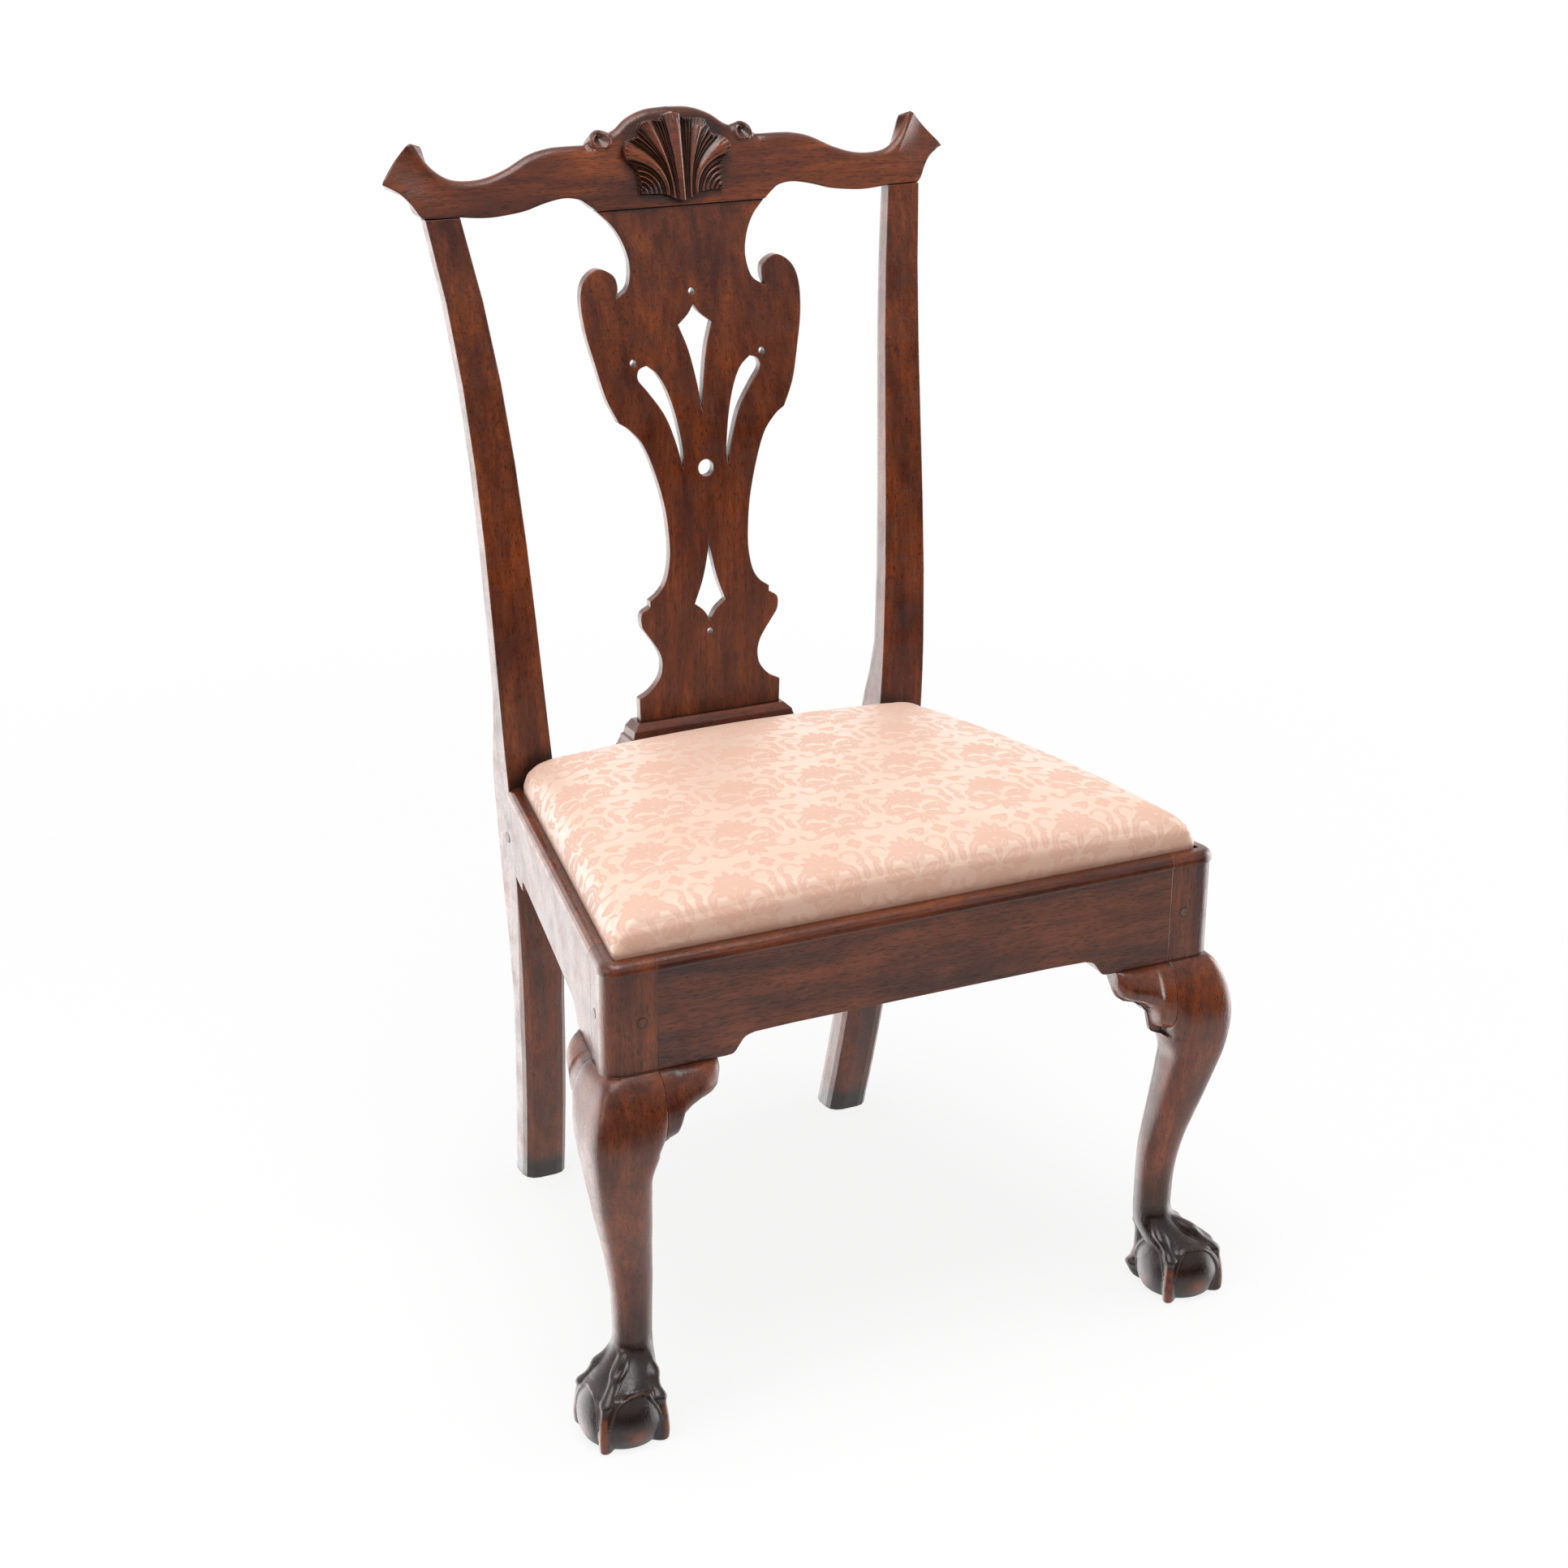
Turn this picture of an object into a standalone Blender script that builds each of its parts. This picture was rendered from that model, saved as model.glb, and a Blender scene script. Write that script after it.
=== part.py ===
"""Chippendale side chair in mahogany, with a drop-in damask seat.

Metres, +Z up. The chair faces -Y and is symmetric about X = 0. Y = 0 is the front face of the
seat rail while the pieces are drawn; a root empty then centres the chair on the floor.
"""

import math

import bmesh
import bpy
from mathutils import Matrix, Vector

MM = 0.001
FIT = 0.3 * MM  # gap between two pieces that touch

# Seat frame
SEAT_TOP = 0.4245  # top of the seat rails above the floor
SEAT_WIDTH_FRONT = 0.575  # across the side faces, in the plane of the front rail
SEAT_WIDTH_BACK = 0.422  # across the side faces, in the plane of the stiles' fronts
SEAT_DEPTH = 0.3932  # front rail face to the front faces of the stiles
RAIL_HEIGHT = 0.0795  # front rail, at its straight lower edge
RAIL_THICK = 0.024
RAIL_END_DROP = 0.017  # how much deeper the front and side rails are beside the legs
CYMA_LENGTH = 0.030  # run of the curve between the two depths of a rail
FRONT_CYMA = 0.0595  # straight foot of the front rail's end, from the post
SIDE_CYMA = 0.050  # straight foot of a side rail's front end, from the post
SIDE_RISE = 0.006  # rise of a side rail's lower edge towards the back
SIDE_HEEL = 0.048  # length of the small drop at a side rail's back end
SIDE_HEEL_DROP = 0.012
LIP_PROUD = 0.0015  # how far the moulding stands out from the rail
LIP_FILLET = 0.002
MOULDING_ROUND = 0.008
RIM_WIDTH = 0.0115  # rail face to the rebate of the drop-in seat
REBATE_DEEP = 0.0245
REAR_RAIL_THICK = 0.048
REAR_RAIL_PROUD = 0.0102  # how far it stands in front of the stiles, as a ledge for the seat

# Joinery
TENON_THICK = 0.009
TENON_LONG = 0.026
TENON_CHEEK = 0.009  # rail face to tenon
TENON_SHOULDER = 0.010  # rail edge to tenon, above and below
PIN_RADIUS = 0.0045
PIN_FROM_JOINT = 0.0133
PIN_LONG = 0.021
PIN_DOWN = 0.0525  # pin centre below the top of the seat rails

# Front legs
POST_WIDTH = 0.0469
POST_DEPTH = 0.046
POST_ROUND = 0.015
LEG_FORWARD = 0.0015  # the leg's middle stands in front of the post's middle
LEG_INWARD = 0.001  # and nearer to the chair's middle
POST_CORE_DOWN = 0.060  # how far the square post runs down inside the knee
KNEE_SWELL = 0.0402  # half width of the knee at its fullest
ANKLE_RADIUS = 0.0167
ANKLE_HIGH = 0.082
FOOT_FORWARD = 0.022  # ball centre ahead of the post centre, on the diagonal
BALL_RADIUS = 0.0375
BALL_TALL = 0.031  # half height of the ball before its foot is cut flat
BALL_HIGH = 0.017
TOE_REACH = 0.0440  # ball centre to the tip of a claw
TOE_RADIUS = 0.0070
RETURN_LONG = 0.052
RETURN_THICK = 0.020
RETURN_TALL = 0.070

# Stiles
STILE_WIDTH_SEAT = 0.0454
STILE_WIDTH_TOP = 0.0318
STILE_DEEP_SEAT = 0.040
STILE_DEEP_BACK = 0.0275  # just above the seat
STILE_DEEP_TOP = 0.022
STILE_TOP = 0.9225  # joint with the crest rail above the floor
STILE_SPREAD = (0.0471, -0.0600, 0.0565)  # outward curve of the back, by powers of the height share
STILE_RAKE = (0.017, 0.065)  # backward curve of the back, likewise
REAR_FOOT_IN = 0.0235  # the rear foot stands in from the stile at the seat
REAR_FOOT_BACK = 0.043  # and behind it
REAR_FOOT_WIDTH = 0.0425
REAR_FOOT_DEEP = 0.040
REAR_FOOT_ROUND = 0.013
STILE_TENON = (0.014, 0.007, 0.018)

# Splat, shoe and crest rail
SPLAT_SETBACK = 0.0226  # splat face behind the stile face at the seat
SPLAT_THICK = 0.009
SPLAT_BEND_UP = 0.1255  # height above the seat rails where the splat starts to lean
SPLAT_LEAN = 0.447
SPLAT_FOOT_DEEP = 0.012  # in the shoe
SPLAT_TONGUE = 0.010  # in the crest rail
TONGUE_SHOULDER = 0.0025
SHOE_TALL = 0.059
SHOE_TOP_LENGTH = 0.148
SHOE_FLARE = 0.021  # added length at each end, and depth at the front
CREST_THICK = 0.022
CREST_PROUD = 0.003  # crest face in front of the splat face
CREST_DIP = 0.0037  # splat joint below the stile joint
EAR_START = 0.205
EAR_SWEEP = 0.010
EAR_TALL = 0.060
EAR_THICK = 0.009  # at the top of an ear
SHELL_RELIEF = 0.0075
CORNER_BLOCK = 0.034
BLOCK_TALL = 0.050

# Drop-in seat
SLIP_GAP = 0.0005  # cover to rebate
COVER_THICK = 0.0010
SLIP_RAIL_WIDE = 0.052
SLIP_RAIL_THICK = 0.018
SLIP_BACK_GAP = 0.0025
SLIP_CORNER = 0.010  # length of the rounding along each side
WEB_WIDE = 0.050
WEB_THICK = 0.0014
WEB_WAVE = 0.0015
CROWN = 0.050  # top of the seat above the seat rails
SIDE_SWELL = 0.007  # how much higher its sides stand than its corners
SEAT_LIFT_TURN_IN = 0.014  # cover turned under the frame

LEDGE = SEAT_TOP - REBATE_DEEP
RAIL_LOW = SEAT_TOP - RAIL_HEIGHT
KNEE_TOP = RAIL_LOW - RAIL_END_DROP
LIP_LOW = SEAT_TOP - MOULDING_ROUND - LIP_FILLET
HALF_FRONT = SEAT_WIDTH_FRONT / 2
SIDE_SLOPE = (SEAT_WIDTH_FRONT - SEAT_WIDTH_BACK) / 2 / SEAT_DEPTH
SIDE_STRETCH = math.hypot(1, SIDE_SLOPE)
POST_IN = HALF_FRONT - POST_WIDTH
POST_CENTRE = Vector((POST_IN + (POST_WIDTH - SIDE_SLOPE * POST_DEPTH) / 2, POST_DEPTH / 2))
LEG_CENTRE = POST_CENTRE - Vector((LEG_INWARD, LEG_FORWARD))
SPLAT_FACE = SEAT_DEPTH + SPLAT_SETBACK
SPLAT_BEND = SEAT_TOP + SPLAT_BEND_UP
SPLAT_JOINT = STILE_TOP - CREST_DIP
SHOE_TOP = LEDGE + SHOE_TALL
REAR_RAIL_FRONT = SEAT_DEPTH - REAR_RAIL_PROUD
REAR_RAIL_BACK = REAR_RAIL_FRONT + REAR_RAIL_THICK
PIN_HIGH = SEAT_TOP - PIN_DOWN
SEAT_MIDDLE = SEAT_DEPTH / 2
SLIP_LOW = LEDGE + FIT
CANT = REAR_FOOT_IN / SEAT_TOP  # the stile's lean, seen from the front, below the seat

for old in list(bpy.data.objects):
    bpy.data.objects.remove(old)

chair = bpy.data.collections.new("chippendale_side_chair")
tools = bpy.data.collections.new("cutters")
for collection in (chair, tools):
    bpy.context.scene.collection.children.link(collection)

root = bpy.data.objects.new("chair_root", None)
chair.objects.link(root)


def material(name, colour, roughness):
    made = bpy.data.materials.new(name)
    made.use_nodes = True
    shader = made.node_tree.nodes["Principled BSDF"]
    shader.inputs["Base Color"].default_value = (*colour, 1)
    shader.inputs["Roughness"].default_value = roughness
    shader.inputs["Metallic"].default_value = 0
    return made


MAHOGANY = material("varnished_mahogany", (0.13, 0.035, 0.014), 0.3)
POPLAR = material("bare_poplar", (0.42, 0.27, 0.14), 0.7)
WEBBING = material("jute_webbing", (0.36, 0.24, 0.12), 0.9)
HAIR = material("curled_hair", (0.06, 0.04, 0.03), 0.95)
DAMASK = material("silk_damask", (0.87, 0.58, 0.44), 0.45)


def place(name, mesh, paint=None, parent=root):
    """A node of the chair where paint is given, and otherwise a hidden tool."""
    made = bpy.data.objects.new(name, mesh)
    if paint:
        mesh.materials.append(paint)
        mesh.shade_smooth()
        mesh.set_sharp_from_angle(angle=math.radians(35))
        chair.objects.link(made)
    else:
        tools.objects.link(made)
        made.hide_render = True
        made.display_type = "WIRE"
    made.parent = parent
    made.matrix_parent_inverse = Matrix.Translation(-parent.location)
    return made


def mesh_from(bm, name):
    bmesh.ops.remove_doubles(bm, verts=bm.verts, dist=1e-6)
    bmesh.ops.recalc_face_normals(bm, faces=bm.faces)
    mesh = bpy.data.meshes.new(name)
    bm.to_mesh(mesh)
    bm.free()
    return mesh


def loft(name, rings, paint=None, parent=root, closed=False, facets=False):
    """A solid through rings of equally many points, with flat ends or joined end to end.

    Facets splits its bent faces, for a shape that is cut and joined further.
    """
    bm = bmesh.new()
    rows = [[bm.verts.new(point) for point in ring] for ring in rings]
    if closed:
        rows.append(rows[0])
    count = len(rows[0])
    for lower, upper in zip(rows, rows[1:]):
        for k in range(count):
            n = (k + 1) % count
            bm.faces.new((lower[k], lower[n], upper[n], upper[k]))
    if not closed:
        bm.faces.new(rows[0][::-1])
        bm.faces.new(rows[-1])
    if facets:
        bmesh.ops.triangulate(bm, faces=bm.faces)
    return place(name, mesh_from(bm, name), paint, parent)


def box(name, low, high, paint=None, parent=root):
    bm = bmesh.new()
    low, high = Vector(low), Vector(high)
    size = Matrix.Diagonal((*(high - low), 1))
    bmesh.ops.create_cube(bm, size=1, matrix=Matrix.Translation((low + high) / 2) @ size)
    return place(name, mesh_from(bm, name), paint, parent)


def mirrored(side, low, high):
    """Corners of a box given for the right-hand side, on the given side."""
    xs = sorted((side * low[0], side * high[0]))
    return (xs[0], *low[1:]), (xs[1], *high[1:])


def cylinder(name, centre, axis, radius, length, paint=None):
    bm = bmesh.new()
    turn = Vector(axis).to_track_quat("Z", "Y").to_matrix().to_4x4()
    bmesh.ops.create_cone(
        bm, cap_ends=True, segments=12, radius1=radius, radius2=radius, depth=length,
        matrix=Matrix.Translation(centre) @ turn,
    )
    return place(name, mesh_from(bm, name), paint)


def combine(target, tool, operation):
    step = target.modifiers.new(tool.name, "BOOLEAN")
    step.operation = operation
    step.object = tool
    step.solver = "EXACT"


def cut(target, tool):
    combine(target, tool, "DIFFERENCE")


def join(target, tool):
    combine(target, tool, "UNION")


def smooth(points, steps=2):
    """Points along a smooth curve through the given ones, without the last."""
    ends = [Vector(p) for p in points]
    ends = [2 * ends[0] - ends[1], *ends, 2 * ends[-1] - ends[-2]]
    found = []
    for a, b, c, d in zip(ends, ends[1:], ends[2:], ends[3:]):
        for k in range(steps):
            t = k / steps
            found.append(b + 0.5 * t * (c - a + t * (2 * a - 5 * b + 4 * c - d + t * (3 * (b - c) + d - a))))
    return found


def outline(stretches, steps=2):
    """Smooth stretches, with a corner where two of them meet."""
    return [p for stretch in stretches for p in smooth(stretch, 1 if len(stretch) == 2 else steps)]


def both_halves(half):
    """A closed outline from its right half, which starts and ends near the middle."""
    left = [Vector((-p.x, p.y)) for p in reversed(half) if p.x > 1e-6]
    return [*half, *left]


def circle(x, height, radius, count):
    turns = [2 * math.pi * k / count for k in range(count)]
    return [Vector((x + radius * math.cos(a), height + radius * math.sin(a))) for a in turns]


def flat_panel(name, outlines):
    """A bmesh slab, one unit thick in Y, filled between an outer outline and its holes in X and Z."""
    curve = bpy.data.curves.new(name, "CURVE")
    curve.dimensions = "2D"
    curve.fill_mode = "BOTH"
    curve.extrude = 0.5
    for points in outlines:
        spline = curve.splines.new("POLY")
        spline.points.add(len(points) - 1)
        for at, p in zip(spline.points, points):
            at.co = (p.x, p.y, 0, 1)
        spline.use_cyclic_u = True
    guide = bpy.data.objects.new(name, curve)
    tools.objects.link(guide)
    bpy.context.view_layer.update()
    drawn = bpy.data.meshes.new_from_object(guide.evaluated_get(bpy.context.evaluated_depsgraph_get()))
    bpy.data.objects.remove(guide)
    bm = bmesh.new()
    bm.from_mesh(drawn)
    bpy.data.meshes.remove(drawn)
    bmesh.ops.remove_doubles(bm, verts=bm.verts, dist=1e-6)
    for v in bm.verts:
        v.co = Vector((v.co.x, -v.co.z, v.co.y))
    return bm


def slice_across(bm, axis, places):
    """New edges across a slab, so that it can bend at these places along an axis."""
    normal = Vector([float(k == axis) for k in range(3)])
    for at in places:
        everything = [*bm.verts, *bm.edges, *bm.faces]
        bmesh.ops.bisect_plane(bm, geom=everything, dist=1e-6, plane_co=normal * at, plane_no=normal)


def splat_y(z):
    """Front face of the splat, which stands upright at the seat and leans back above the bend."""
    return SPLAT_FACE + SPLAT_LEAN * max(0.0, z - SPLAT_BEND) ** 2


def side_x(y):
    """Outer face of the right-hand side of the seat frame."""
    return HALF_FRONT - SIDE_SLOPE * y


# Rails: one section for front and sides, with a rounded moulding and a rebate for the seat
def rail_section(low):
    """Points (depth from the rail's face, height) round a rail."""
    turns = [math.pi / 2 * k / 4 for k in range(5)]
    lip = [
        (MOULDING_ROUND * (1 - math.cos(a)) - LIP_PROUD, LIP_LOW + LIP_FILLET + MOULDING_ROUND * math.sin(a))
        for a in turns
    ]
    foot = [(0, low), (0, LIP_LOW), (-LIP_PROUD, LIP_LOW + FIT)]
    ledge = [(RIM_WIDTH, SEAT_TOP), (RIM_WIDTH, LEDGE), (RAIL_THICK, LEDGE), (RAIL_THICK, low)]
    return [*foot, *lip, *ledge]


def cyma(start, low, direction, rise):
    """The double curve between two depths of a rail, from its foot inwards."""
    shares = ((0.0, 0.0), (0.24, 0.07), (0.42, 0.48), (0.60, 0.82), (1.0, 1.0))
    return smooth([(start + direction * CYMA_LENGTH * u, low + rise * v) for u, v in shares], 3)


def tenon_span(low):
    return low + TENON_SHOULDER, LEDGE - TENON_SHOULDER / 2


FRONT_TENON = tenon_span(RAIL_LOW)
front_rail = loft(
    "front_seat_rail",
    [[(x, d, z) for d, z in rail_section(KNEE_TOP)] for x in (FIT - POST_IN, POST_IN - FIT)],
    MAHOGANY,
)
arch_edge = cyma(POST_IN - FRONT_CYMA, KNEE_TOP, -1, RAIL_END_DROP)
arch_edge = [Vector((arch_edge[0].x, KNEE_TOP - CYMA_LENGTH)), *arch_edge, Vector((POST_IN / 2, RAIL_LOW))]
arch = flat_panel("front_rail_arch", [both_halves(arch_edge)])
for v in arch.verts:
    v.co.y *= 4 * RAIL_THICK
cut(front_rail, place("front_rail_arch", mesh_from(arch, "front_rail_arch")))

SIDE_FRONT = POST_DEPTH + FIT
SIDE_BACK = SEAT_DEPTH - FIT


def rail_x(y, z):
    """Face of a side rail, upright in front and above its ledge, leaning with the stile at its back end."""
    lean = CANT * (SEAT_TOP - KNEE_TOP) * max(0.0, LEDGE - z) / (LEDGE - KNEE_TOP)
    return side_x(y) - lean * (y - SIDE_FRONT) / (SIDE_BACK - SIDE_FRONT)


def side_rail(side, word):
    rings = []
    for y in (SIDE_FRONT, SIDE_FRONT + RETURN_LONG, SEAT_MIDDLE, REAR_RAIL_FRONT - CORNER_BLOCK, SIDE_BACK):
        section = rail_section(KNEE_TOP)
        rings.append([(side * (rail_x(y, z) - d * SIDE_STRETCH), y, z) for d, z in section])
    rail = loft(f"side_seat_rail_{word}", rings, MAHOGANY)
    front = cyma(SIDE_FRONT + SIDE_CYMA, KNEE_TOP, 1, RAIL_END_DROP)
    back_low = RAIL_LOW + SIDE_RISE
    heel = [
        Vector((SIDE_BACK - SIDE_HEEL, back_low)),
        Vector((SIDE_BACK - 0.8 * SIDE_HEEL, back_low - 0.15 * SIDE_HEEL_DROP)),
        Vector((SIDE_BACK - 0.72 * SIDE_HEEL, back_low - SIDE_HEEL_DROP)),
        Vector((SIDE_BACK + SIDE_HEEL, back_low - SIDE_HEEL_DROP)),
    ]
    below = KNEE_TOP - CYMA_LENGTH
    straight = Vector((SIDE_FRONT + SIDE_CYMA + CYMA_LENGTH, RAIL_LOW))
    edge = [Vector((front[0].x, below)), *front, straight, *heel]
    edge.append(Vector((heel[-1].x, below)))
    shape = flat_panel(f"side_rail_arch_{word}", [edge])
    for v in shape.verts:
        v.co = Vector((side * HALF_FRONT + v.co.y * HALF_FRONT, v.co.x, v.co.z))
    cut(rail, place(f"side_rail_arch_{word}", mesh_from(shape, f"side_rail_arch_{word}")))
    return rail


# Stiles: from the floor to the crest rail, square at the seat and rounded behind and below it
def stile_share(z):
    return (z - SEAT_TOP) / (STILE_TOP - SEAT_TOP)


def power_sum(factors, t):
    return sum(f * t ** (k + 1) for k, f in enumerate(factors))


def stile_inner(z):
    base = SEAT_WIDTH_BACK / 2 - STILE_WIDTH_SEAT
    if z >= SEAT_TOP:
        return base + power_sum(STILE_SPREAD, stile_share(z))
    down = 1 - z / SEAT_TOP
    return base - REAR_FOOT_IN * down + (STILE_WIDTH_SEAT - REAR_FOOT_WIDTH) / 2 * down


def stile_width(z):
    if z >= SEAT_TOP:
        return STILE_WIDTH_SEAT + (STILE_WIDTH_TOP - STILE_WIDTH_SEAT) * stile_share(z)
    return STILE_WIDTH_SEAT + (REAR_FOOT_WIDTH - STILE_WIDTH_SEAT) * (1 - z / SEAT_TOP)


def stile_face(z):
    if z >= SEAT_TOP:
        return SEAT_DEPTH + power_sum(STILE_RAKE, stile_share(z))
    return SEAT_DEPTH + REAR_FOOT_BACK * max(0.0, 1 - z / KNEE_TOP) ** 1.8


def stile_deep(z):
    if z >= SEAT_TOP:
        t = stile_share(z)
        waist = min(1.0, t / 0.16)
        upper = STILE_DEEP_BACK + (STILE_DEEP_TOP - STILE_DEEP_BACK) * t
        ease = waist * waist * (3 - 2 * waist)
        return STILE_DEEP_SEAT + (upper - STILE_DEEP_SEAT) * ease
    return STILE_DEEP_SEAT + (REAR_FOOT_DEEP - STILE_DEEP_SEAT) * (1 - z / SEAT_TOP)


def stile_ring(side, z):
    """A rectangle with its front and back corners rounded by their own radii."""
    low = min(1.0, max(0.0, (KNEE_TOP - z) / (0.35 * KNEE_TOP)))
    high = min(1.0, max(0.0, stile_share(z) / 0.16))
    front = 0.001 + (REAR_FOOT_ROUND - 0.001) * low
    back = 0.003 + (REAR_FOOT_ROUND - 0.003) * low + 0.007 * high
    x0, x1 = stile_inner(z), stile_inner(z) + stile_width(z)
    y0, y1 = stile_face(z), stile_face(z) + stile_deep(z)
    ring = []
    for cx, cy, radius, turn in (
        (x0, y0, front, 180), (x1, y0, front, 270), (x1, y1, back, 0), (x0, y1, back, 90),
    ):
        inwards = math.copysign(radius, x0 + x1 - 2 * cx), math.copysign(radius, y0 + y1 - 2 * cy)
        centre = Vector((cx, cy)) + Vector(inwards)
        for k in range(4):
            a = math.radians(turn + 30 * k)
            ring.append((side * (centre.x + radius * math.cos(a)), centre.y + radius * math.sin(a), z))
    return ring


rear_rings = []
for z in (RAIL_LOW, LEDGE):
    half = stile_inner(z) - FIT
    y0, y1 = REAR_RAIL_FRONT, REAR_RAIL_BACK
    rear_rings.append([(-half, y0, z), (half, y0, z), (half, y1, z), (-half, y1, z)])
rear_rail = loft("rear_seat_rail", rear_rings, MAHOGANY)


def stile(side, word):
    below = [KNEE_TOP * k for k in (0, 0.12, 0.27, 0.44, 0.62, 0.8, 1)]
    shares = (0, 0.05, 0.1, 0.16, 0.3, 0.44, 0.58, 0.72, 0.86, 1)
    above = [SEAT_TOP + (STILE_TOP - FIT - SEAT_TOP) * k for k in shares]
    made = loft(f"rear_stile_{word}", [stile_ring(side, z) for z in [*below, *above]], MAHOGANY)
    join(made, stile_tenon(f"stile_tenon_{word}", side, 0.0))
    return made


def stile_tenon(name, side, gap):
    """Tenon on top of a stile, leaning with the crest rail, or the mortise for it with a gap."""
    wide, thick, tall = STILE_TENON
    slope = math.atan(2 * SPLAT_LEAN * (STILE_TOP - SPLAT_BEND))
    x = side * (stile_inner(STILE_TOP) + stile_width(STILE_TOP) / 2)
    y = stile_face(STILE_TOP) + STILE_DEEP_TOP / 2
    bm = bmesh.new()
    size = Matrix.Diagonal((wide + 2 * gap, thick + 2 * gap, 2 * (tall + gap), 1))
    turn = Matrix.Rotation(-slope, 4, "X")
    bmesh.ops.create_cube(bm, size=1, matrix=Matrix.Translation((x, y, STILE_TOP)) @ turn @ size)
    return place(name, mesh_from(bm, name))


# Splat: a pierced panel, drawn flat from the shoe to the crest rail and bent to the lean of the back
SPLAT_EDGE = (
    ((71, 0), (71.5, 22.5)),
    (
        (71.5, 22.5), (60, 29), (51, 40), (48.5, 52), (50.5, 63), (56, 73), (63, 83), (68.5, 92),
        (68.5, 103.5), (60, 109.5),
    ),
    ((60, 109.5), (60, 115)),
    (
        (60, 115), (51, 121.5), (44, 132), (40, 150), (39.6, 170), (42.5, 199), (50, 230), (60, 257),
        (72, 272), (82, 279),
    ),
    (
        (82, 279), (92.5, 302), (100, 332), (106, 360), (107.4, 386), (102, 403), (88, 412), (74, 406),
        (70.7, 396), (73, 386.5),
    ),
    ((73, 386.5), (61, 395), (57, 413), (60.5, 431), (69, 447), (82, 460)),
)
SPLAT_DRAWN = SPLAT_EDGE[-1][-1][1]  # height of the drawing
DIAMOND = (
    ((0, 375.5), (6, 367.5), (16.3, 359)),
    ((16.3, 359), (8.5, 336), (3, 307), (0, 283)),
)
LOWER_DIAMOND = (
    ((0, 167), (1.4, 155), (7, 130), (15.4, 107)),
    ((15.4, 107), (6, 99), (0, 89)),
)
TEARDROP = (
    ((51, 326.5), (41, 318), (32.5, 301.5), (25.8, 277), (21.6, 248), (22.3, 233)),
    ((22.3, 233), (28.3, 258), (37, 282), (51, 303), (60, 315), (58.5, 323.5), (51, 326.5)),
)
DOTS = ((0, 387), (63.5, 330), (-63.5, 330), (0, 79))
DOT_RADIUS = 2.9
ROUND_HOLE = (0, 231.5)
ROUND_HOLE_RADIUS = 7.5


def splat_point(p):
    """From the drawing, in millimetres above the shoe, to width and height on the chair."""
    return Vector((p[0] * MM, SHOE_TOP + p[1] / SPLAT_DRAWN * (SPLAT_JOINT - FIT - SHOE_TOP)))


def bent_panel(name, outlines, front, back, levels, paint=None):
    """A panel between two depths from the splat's face, sliced at heights and bent to its lean."""
    bm = flat_panel(name, outlines)
    slice_across(bm, 2, levels)
    for v in bm.verts:
        v.co.y = splat_y(v.co.z) + (front(v.co.z) if v.co.y < 0 else back)
    return place(name, mesh_from(bm, name), paint)


def splat():
    edge = [splat_point(p) for p in outline(SPLAT_EDGE)]
    tongue_half = edge[-1].x - 4 * TONGUE_SHOULDER
    shoulder = SPLAT_JOINT - FIT
    head = [Vector((SPLAT_EDGE[-1][-1][0] * MM, shoulder)), Vector((tongue_half, shoulder))]
    head.append(Vector((tongue_half, SPLAT_JOINT + SPLAT_TONGUE - FIT)))
    foot = Vector((SPLAT_EDGE[0][0][0] * MM, SHOE_TOP - SPLAT_FOOT_DEEP + FIT))
    holes = [both_halves([splat_point(p) for p in outline(shape)]) for shape in (DIAMOND, LOWER_DIAMOND)]
    tear = [splat_point(p) for p in outline(TEARDROP)]
    holes += [tear, [Vector((-p.x, p.y)) for p in tear]]
    for (x, h), radius, count in [(ROUND_HOLE, ROUND_HOLE_RADIUS, 16), *((d, DOT_RADIUS, 8) for d in DOTS)]:
        centre = splat_point((x, h))
        holes.append(circle(centre.x, centre.y, radius * MM, count))
    steps = 9
    levels = [SPLAT_BEND + (shoulder - SPLAT_BEND) * k / steps for k in range(steps + 1)]
    bent_panel(
        "splat",
        [both_halves([foot, *edge, *head]), *holes],
        lambda z: TONGUE_SHOULDER if z > shoulder - 0.5 * FIT else 0.0,
        SPLAT_THICK,
        [*levels, shoulder - FIT],
        MAHOGANY,
    )
    return tongue_half


# Shoe: a moulded block that holds the foot of the splat, rounded over, stepped and hollowed below
def shoe():
    shares = (
        (0, 1.0), (0.40, 1.0), (0.50, 0.93), (0.62, 0.72), (0.72, 0.56), (0.78, 0.50), (0.79, 0.38),
        (0.90, 0.30), (1.0, 0.0),
    )
    top_front = SPLAT_FACE - 0.003
    rings = []
    for up, out in shares:
        half = SHOE_TOP_LENGTH / 2 + SHOE_FLARE * out
        front = top_front - (top_front - SEAT_DEPTH - 0.003) * out
        z = LEDGE + FIT + (SHOE_TALL - FIT) * up
        back = REAR_RAIL_BACK
        rings.append([(-half, front, z), (half, front, z), (half, back, z), (-half, back, z)])
    made = loft("splat_shoe", rings, MAHOGANY)
    half = SPLAT_EDGE[0][0][0] * MM + FIT
    low = (-half, SPLAT_FACE - FIT, SHOE_TOP - SPLAT_FOOT_DEEP)
    cut(made, box("shoe_slot", low, (half, SPLAT_FACE + SPLAT_THICK + FIT, SHOE_TOP + SHOE_TALL)))


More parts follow.
